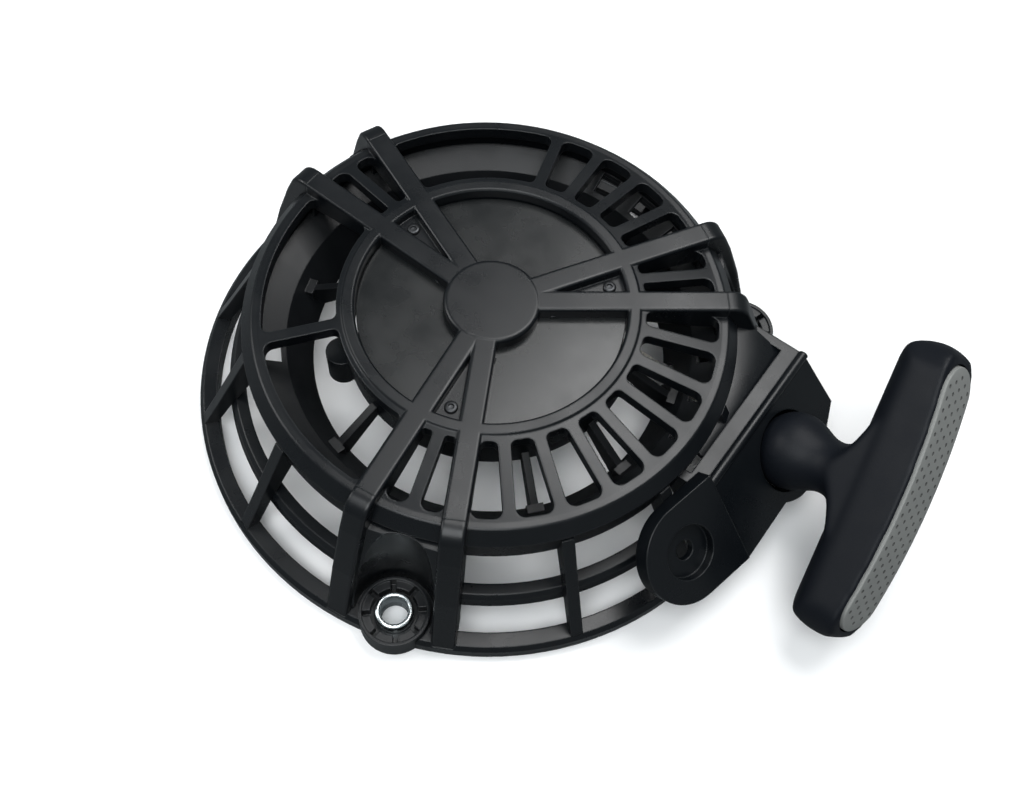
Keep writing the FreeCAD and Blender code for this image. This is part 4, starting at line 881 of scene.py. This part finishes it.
@dataclass
class Rope:
    """The starter rope: the braided run to the handle, and its turns on the reel. In millimetres."""

    radius: float = 2.0
    strand: float = 0.62
    strand_circle: float = 1.32
    weave: float = 0.08
    braid_pitch: float = 13.0
    line_steps: int = 48
    start: Point = (18.0, 24.6, 23.6)
    bend_back: float = 15.9
    corner: float = 7.0
    knot_height: float = 29.6
    seat_height: float = 3.0
    mouth: float = 12.5
    coil_inner: float = 20.1
    coil_outer: float = 24.8
    coil_turns: float = 3.0
    coil_low: float = 22.4
    coil_high: float = 25.0
    coil_steps: int = 64

    def route(self) -> tuple[list[Vector], Vector, Vector]:
        """Lay out the rope from the reel through the guide to the handle's knot.

        Returns:
            Its guide points, and where the stretch between the bodies starts and ends, in metres.
        """
        matrix = HandleAxes().matrix()
        pull = matrix.to_3x3() @ Vector((0, 0, 1))
        ball = matrix @ Vector((0, 0, self.seat_height * MM))
        bend = ball - pull * self.bend_back * MM
        end = matrix @ Vector((0, 0, self.knot_height * MM))
        start = Vector(self.start) * MM
        back = (start - bend).normalized() * self.corner * MM
        ahead = pull * self.corner * MM
        points = [start, (start + bend) / 2, bend + back, bend + ahead, (bend + end) / 2, end]
        return points, ball - pull * self.mouth * MM, end

    def line(self, points: Sequence[Vector]) -> list[Vector]:
        """Draw a smooth curve through the rope's guide points.

        Args:
            points: the guide points, in metres.

        Returns:
            Even points along the curve, in metres.
        """
        data = bpy.data.curves.new("rope_line", "CURVE")
        data.dimensions = "3D"
        data.resolution_u = self.line_steps
        spline = data.splines.new("NURBS")
        spline.points.add(len(points) - 1)
        for held, point in zip(spline.points, points):
            held.co = (*point, 1.0)
        spline.order_u = 3
        spline.use_endpoint_u = True
        guide = bpy.data.objects.new("rope_line", data)
        bpy.context.scene.collection.objects.link(guide)
        bpy.context.view_layer.update()
        mesh = bpy.data.meshes.new_from_object(guide)
        line = [vertex.co.copy() for vertex in mesh.vertices]
        bpy.data.meshes.remove(mesh)
        bpy.data.objects.remove(guide)
        return line

    def tube(self, name: str, points: Sequence[Vector], radius: float, sides: int) -> bpy.types.Object:
        """Model a round tube with closed ends.

        Args:
            name: the piece's name.
            points: the points that it follows, in metres.
            radius: its radius.
            sides: how many sides it has.

        Returns:
            The new piece.
        """
        data = bpy.data.curves.new(name, "CURVE")
        data.dimensions = "3D"
        data.bevel_depth = radius * MM
        data.bevel_resolution = max(0, sides // 4 - 1)
        data.use_fill_caps = True
        spline = data.splines.new("POLY")
        spline.points.add(len(points) - 1)
        for held, point in zip(spline.points, points):
            held.co = (*point, 1.0)
        tube = bpy.data.objects.new(name, data)
        bpy.context.scene.collection.objects.link(tube)
        Bench.choose(tube)
        bpy.ops.object.convert(target="MESH")
        return bpy.context.object

    def strands(self, line: Sequence[Vector]) -> list[bpy.types.Object]:
        """Lay eight crossing strands round a line.

        Args:
            line: the line's points, in metres.

        Returns:
            The strands.
        """
        side = (line[1] - line[0]).orthogonal().normalized()
        travelled = 0.0
        frames = []
        for index, point in enumerate(line):
            forward = (line[min(index + 1, len(line) - 1)] - line[max(index - 1, 0)]).normalized()
            side = (side - forward * side.dot(forward)).normalized()
            if index:
                travelled += (point - line[index - 1]).length
            frames.append((point, side, forward.cross(side), travelled / (self.braid_pitch * MM) * math.tau))
        made = []
        for way in (-1, 1):
            for quarter in range(4):
                path = []
                for point, across, up, turn in frames:
                    angle = way * turn + quarter * math.tau / 4
                    out = (self.strand_circle + self.weave * way * math.cos(4 * turn)) * MM
                    path.append(point + (across * math.cos(angle) + up * math.sin(angle)) * out)
                made.append(self.tube("strand", path, self.strand, 8))
        return made

    def build_run(self, wardrobe: Wardrobe) -> bpy.types.Object:
        """Model the braided run from the reel through the eyelet to the handle's knot.

        Args:
            wardrobe: the finishes.

        Returns:
            The finished piece, in place.
        """
        points, mouth, end = self.route()
        line = self.line(points)
        core = self.tube("rope_core", line, self.strand_circle, 12)
        run = Bench.join("rope_run", [core] + self.strands(line))
        Bench.smooth(run, 60.0)
        wardrobe.dress(run, Slot.ROPE)
        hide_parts("rope_lead")
        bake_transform(run)
        return run

    def build_coil(self, wardrobe: Wardrobe) -> bpy.types.Object:
        """Model the rope's turns in the reel's groove, each lying against the one before.

        Args:
            wardrobe: the finishes.

        Returns:
            The finished piece, in place.
        """
        steps = int(self.coil_turns * self.coil_steps)
        points = []
        for step in range(steps + 1):
            turn = step / self.coil_steps
            radius = self.coil_inner + (self.coil_outer - self.coil_inner) * step / steps
            lift = (1 - math.cos(math.pi * turn)) / 2
            height = self.coil_low + (self.coil_high - self.coil_low) * lift
            angle = turn * math.tau
            points.append(Vector((radius * math.cos(angle), radius * math.sin(angle), height)) * MM)
        coil = self.tube("rope_coil", points, self.radius, 16)
        Bench.smooth(coil, 60.0)
        wardrobe.dress(coil, Slot.ROPE)
        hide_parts("rope_winding")
        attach(coil, "reel")
        return coil


# ---------------------------------------------------------------- fixings


@dataclass
class Fixings:
    """The bolt sleeves and the cover screws. In millimetres and degrees."""

    first_azimuth: float = 48.0
    bolt_circle: float = 83.5
    sleeve_outer: float = 5.5
    sleeve_bore: float = 4.0
    sleeve_height: float = 9.0
    chamfer: float = 0.55
    screw_circle: float = 35.0
    screw_seat: float = 44.8
    head_radius: float = 1.95
    head_height: float = 0.9
    shank: float = 1.1
    shank_bottom: float = 38.5

    def places(self, radius: float) -> list[Matrix]:
        """Find where each of three equal fixings stands, turned outwards.

        Args:
            radius: how far they are from the axis.

        Returns:
            Their places, in metres.
        """
        turns = (math.radians(self.first_azimuth + turn) for turn in (0, 120, 240))
        out = Matrix.Translation((radius * MM, 0.0, 0.0))
        return [Matrix.Rotation(turn, 4, "Z") @ out for turn in turns]

    def build_sleeves(self, wardrobe: Wardrobe) -> bpy.types.Object:
        """Model three bright sleeves with chamfered mouths.

        Args:
            wardrobe: the finishes.

        Returns:
            The finished sleeves, in place.
        """
        inner, outer, top, flat = self.sleeve_bore, self.sleeve_outer, self.sleeve_height, self.chamfer
        sleeve = Bench.turned("bolt_sleeve", [
            (inner, flat), (inner + flat, 0), (outer - 0.3, 0), (outer, 0.3), (outer, top - flat),
            (outer - flat * 0.3, top - flat * 0.3), (outer - flat, top), (inner + flat, top),
            (inner + flat * 0.3, top - flat * 0.3), (inner, top - flat),
        ])
        sleeves = Bench.copies("bolt_sleeves", sleeve, self.places(self.bolt_circle))
        Bench.smooth(sleeves, 50.0)
        wardrobe.dress(sleeves, Slot.ZINC)
        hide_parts("mount_sleeves")
        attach(sleeves, "housing")
        return sleeves

    def build_screws(self, wardrobe: Wardrobe) -> bpy.types.Object:
        """Model three small pan-headed screws with round drive holes.

        Args:
            wardrobe: the finishes.

        Returns:
            The finished screws, in place.
        """
        seat, radius, height = self.screw_seat, self.head_radius, self.head_height
        shank, bottom = self.shank, self.shank_bottom
        screw = Bench.turned("cover_screw", [
            (0, bottom), (shank - 0.2, bottom), (shank, bottom + 0.3),
            (shank, seat), (radius, seat), (radius, seat + height * 0.45),
            (radius - 0.12, seat + height * 0.75), (radius - 0.45, seat + height), (0.95, seat + height),
            (0.8, seat + height * 0.85), (0.75, seat + 0.3), (0, seat + 0.2),
        ], steps=36)
        screws = Bench.copies("cover_screw_set", screw, self.places(self.screw_circle))
        Bench.smooth(screws, 40.0)
        wardrobe.dress(screws, Slot.SCREW)
        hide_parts("cover_screws")
        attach(screws, "housing")
        return screws


# ---------------------------------------------------------------- studio


@dataclass(frozen=True)
class SoftBox:
    """A square area light aimed at the part: its place in degrees and metres, and its power in watts."""

    name: str
    azimuth: float
    elevation: float
    distance: float
    width: float
    power: float
    color: Color = (1.0, 1.0, 1.0)

    def build(self) -> None:
        """Add the light to the scene, facing the part's axes' origin."""
        azimuth, elevation = math.radians(self.azimuth), math.radians(self.elevation)
        place = Vector((
            math.cos(azimuth) * math.cos(elevation),
            math.sin(azimuth) * math.cos(elevation),
            math.sin(elevation),
        )) * self.distance
        data = bpy.data.lights.new(self.name, "AREA")
        data.shape = "SQUARE"
        data.size = self.width
        data.energy = self.power
        data.color = self.color
        lamp = bpy.data.objects.new(self.name, data)
        lamp.location = place
        lamp.rotation_euler = (-place).to_track_quat("-Z", "Y").to_euler()
        bpy.context.scene.collection.objects.link(lamp)


SOFT_BOXES = (
    SoftBox("key", azimuth=83.0, elevation=68.0, distance=0.9, width=0.5, power=5.4),
    SoftBox(
        "front", azimuth=290.0, elevation=64.0, distance=1.1, width=0.7, power=8.0, color=(0.95, 0.98, 1.0),
    ),
    SoftBox("left", azimuth=205.0, elevation=38.0, distance=1.0, width=0.5, power=3.5),
)


@dataclass
class Studio:
    """Camera, lights and floor. Angles are in degrees and lengths in metres."""

    azimuth: float = 31.5
    elevation: float = 62.18
    roll: float = 5.24
    distance: float = 0.38489
    shift_right: float = 0.00773
    shift_up: float = -0.00767
    lens: float = 42.19
    world_color: Color = (0.90, 0.97, 1.0)
    world_strength: float = 0.24
    backdrop_strength: float = 0.92
    even_from: float = 0.2
    even_to: float = 0.8
    even_strength: float = 0.7
    floor_size: float = 8.0
    floor_drop: float = 0.0002
    floor_seen: Color = (0.95, 0.95, 0.95)
    floor_thrown: Color = (0.16, 0.17, 0.175)

    def axes(self) -> tuple[Vector, Vector, Vector]:
        """Work out how the camera is turned.

        Returns:
            Its right, up and backward directions.
        """
        azimuth, elevation, roll = (math.radians(v) for v in (self.azimuth, self.elevation, self.roll))
        back = Vector((
            math.sin(azimuth) * math.cos(elevation),
            -math.cos(azimuth) * math.cos(elevation),
            math.sin(elevation),
        ))
        level = Vector((math.cos(azimuth), math.sin(azimuth), 0.0))
        upright = back.cross(level)
        right = level * math.cos(roll) + upright * math.sin(roll)
        return right, back.cross(right), back

    def build_camera(self) -> None:
        """Add the camera and make it the scene's."""
        right, up, back = self.axes()
        data = bpy.data.cameras.new("camera")
        data.lens = self.lens
        data.sensor_width = 36.0
        data.clip_start = 0.01
        camera = bpy.data.objects.new("camera", data)
        place = back * self.distance + right * self.shift_right + up * self.shift_up
        turn = Matrix((right, up, back)).transposed().to_4x4()
        camera.matrix_world = Matrix.Translation(place) @ turn
        bpy.context.scene.collection.objects.link(camera)
        bpy.context.scene.camera = camera

    def build_lights(self) -> None:
        """Soft boxes over and round the part, and a cool, even world."""
        for box in SOFT_BOXES:
            box.build()
        bpy.context.scene.view_settings.view_transform = "Standard"
        world = bpy.data.worlds.new("studio")
        bpy.context.scene.world = world
        world.use_nodes = True
        nodes, links = world.node_tree.nodes, world.node_tree.links
        background = nodes["Background"]
        background.inputs["Color"].default_value = (*self.world_color, 1.0)
        rays = nodes.new("ShaderNodeLightPath")
        strength = nodes.new("ShaderNodeMapRange")
        strength.inputs["To Min"].default_value = self.world_strength
        strength.inputs["To Max"].default_value = self.backdrop_strength
        links.new(rays.outputs["Is Camera Ray"], strength.inputs["Value"])
        links.new(strength.outputs["Result"], background.inputs["Strength"])

    def build_floor(self) -> None:
        """A plain pale floor that throws little light back up at the part."""
        Bench.clear()
        bpy.ops.mesh.primitive_plane_add(size=self.floor_size, location=(0.0, 0.0, -self.floor_drop))
        floor = Bench.settle("floor")
        material = bpy.data.materials.new("floor")
        material.use_nodes = True
        nodes, links = material.node_tree.nodes, material.node_tree.links
        shader = nodes["Principled BSDF"]
        shader.inputs["Roughness"].default_value = 0.9
        shader.inputs["Specular IOR Level"].default_value = 0.1
        rays = nodes.new("ShaderNodeLightPath")
        seen = mix_color(nodes, links, rays.outputs["Is Camera Ray"], self.floor_thrown, self.floor_seen)
        links.new(seen, shader.inputs["Base Color"])
        self.even_out(material, rays)
        floor.data.materials.append(material)

    def even_out(self, material: bpy.types.Material, rays: bpy.types.Node) -> None:
        """Keep the floor pale far from the lights, and clear when it is seen from underneath.

        Args:
            material: the floor's material.
            rays: its Light Path node.
        """
        nodes, links = material.node_tree.nodes, material.node_tree.links
        shader, surface = nodes["Principled BSDF"], nodes["Material Output"]
        place = nodes.new("ShaderNodeTexCoord")
        reach = nodes.new("ShaderNodeVectorMath")
        reach.operation = "LENGTH"
        links.new(place.outputs["Object"], reach.inputs[0])
        far = nodes.new("ShaderNodeMapRange")
        far.inputs["From Min"].default_value = self.even_from
        far.inputs["From Max"].default_value = self.even_to
        far.inputs["To Max"].default_value = self.even_strength
        links.new(reach.outputs["Value"], far.inputs["Value"])
        shown = nodes.new("ShaderNodeMath")
        shown.operation = "MULTIPLY"
        links.new(far.outputs["Result"], shown.inputs[0])
        links.new(rays.outputs["Is Camera Ray"], shown.inputs[1])
        shader.inputs["Emission Color"].default_value = (1.0, 1.0, 1.0, 1.0)
        links.new(shown.outputs["Value"], shader.inputs["Emission Strength"])
        geometry = nodes.new("ShaderNodeNewGeometry")
        clear = nodes.new("ShaderNodeBsdfTransparent")
        side = nodes.new("ShaderNodeMixShader")
        links.new(geometry.outputs["Backfacing"], side.inputs["Fac"])
        links.new(shader.outputs["BSDF"], side.inputs[1])
        links.new(clear.outputs["BSDF"], side.inputs[2])
        links.new(side.outputs["Shader"], surface.inputs["Surface"])


# ---------------------------------------------------------------- main


def main() -> None:
    """Build the studio, dress the CAD parts, model the new pieces and report each step."""
    logging.basicConfig(level=logging.INFO, format="%(name)s: %(message)s")
    studio = Studio()
    studio.build_camera()
    studio.build_lights()
    studio.build_floor()
    wardrobe = Wardrobe()
    for entry in frame["record"]["subparts"]:
        wardrobe.dress_node(entry["node"], Slot(entry["material_slot"]))
        log.info("dressed %s", entry["node"])
    handle, rope, fixings = Handle(), Rope(), Fixings()
    steps = (
        (GuideWeb().build, Slot.HOUSING),
        (handle.build_shell, Slot.HANDLE),
        (handle.build_insert, Slot.INSERT),
        (rope.build_run, Slot.ROPE),
        (rope.build_coil, Slot.ROPE),
        (fixings.build_sleeves, Slot.ZINC),
        (fixings.build_screws, Slot.SCREW),
    )
    for build, slot in steps:
        piece = build(wardrobe)
        log.info("built %s: %d faces", piece.name, len(piece.data.polygons))


if __name__ == "__main__":
    main()
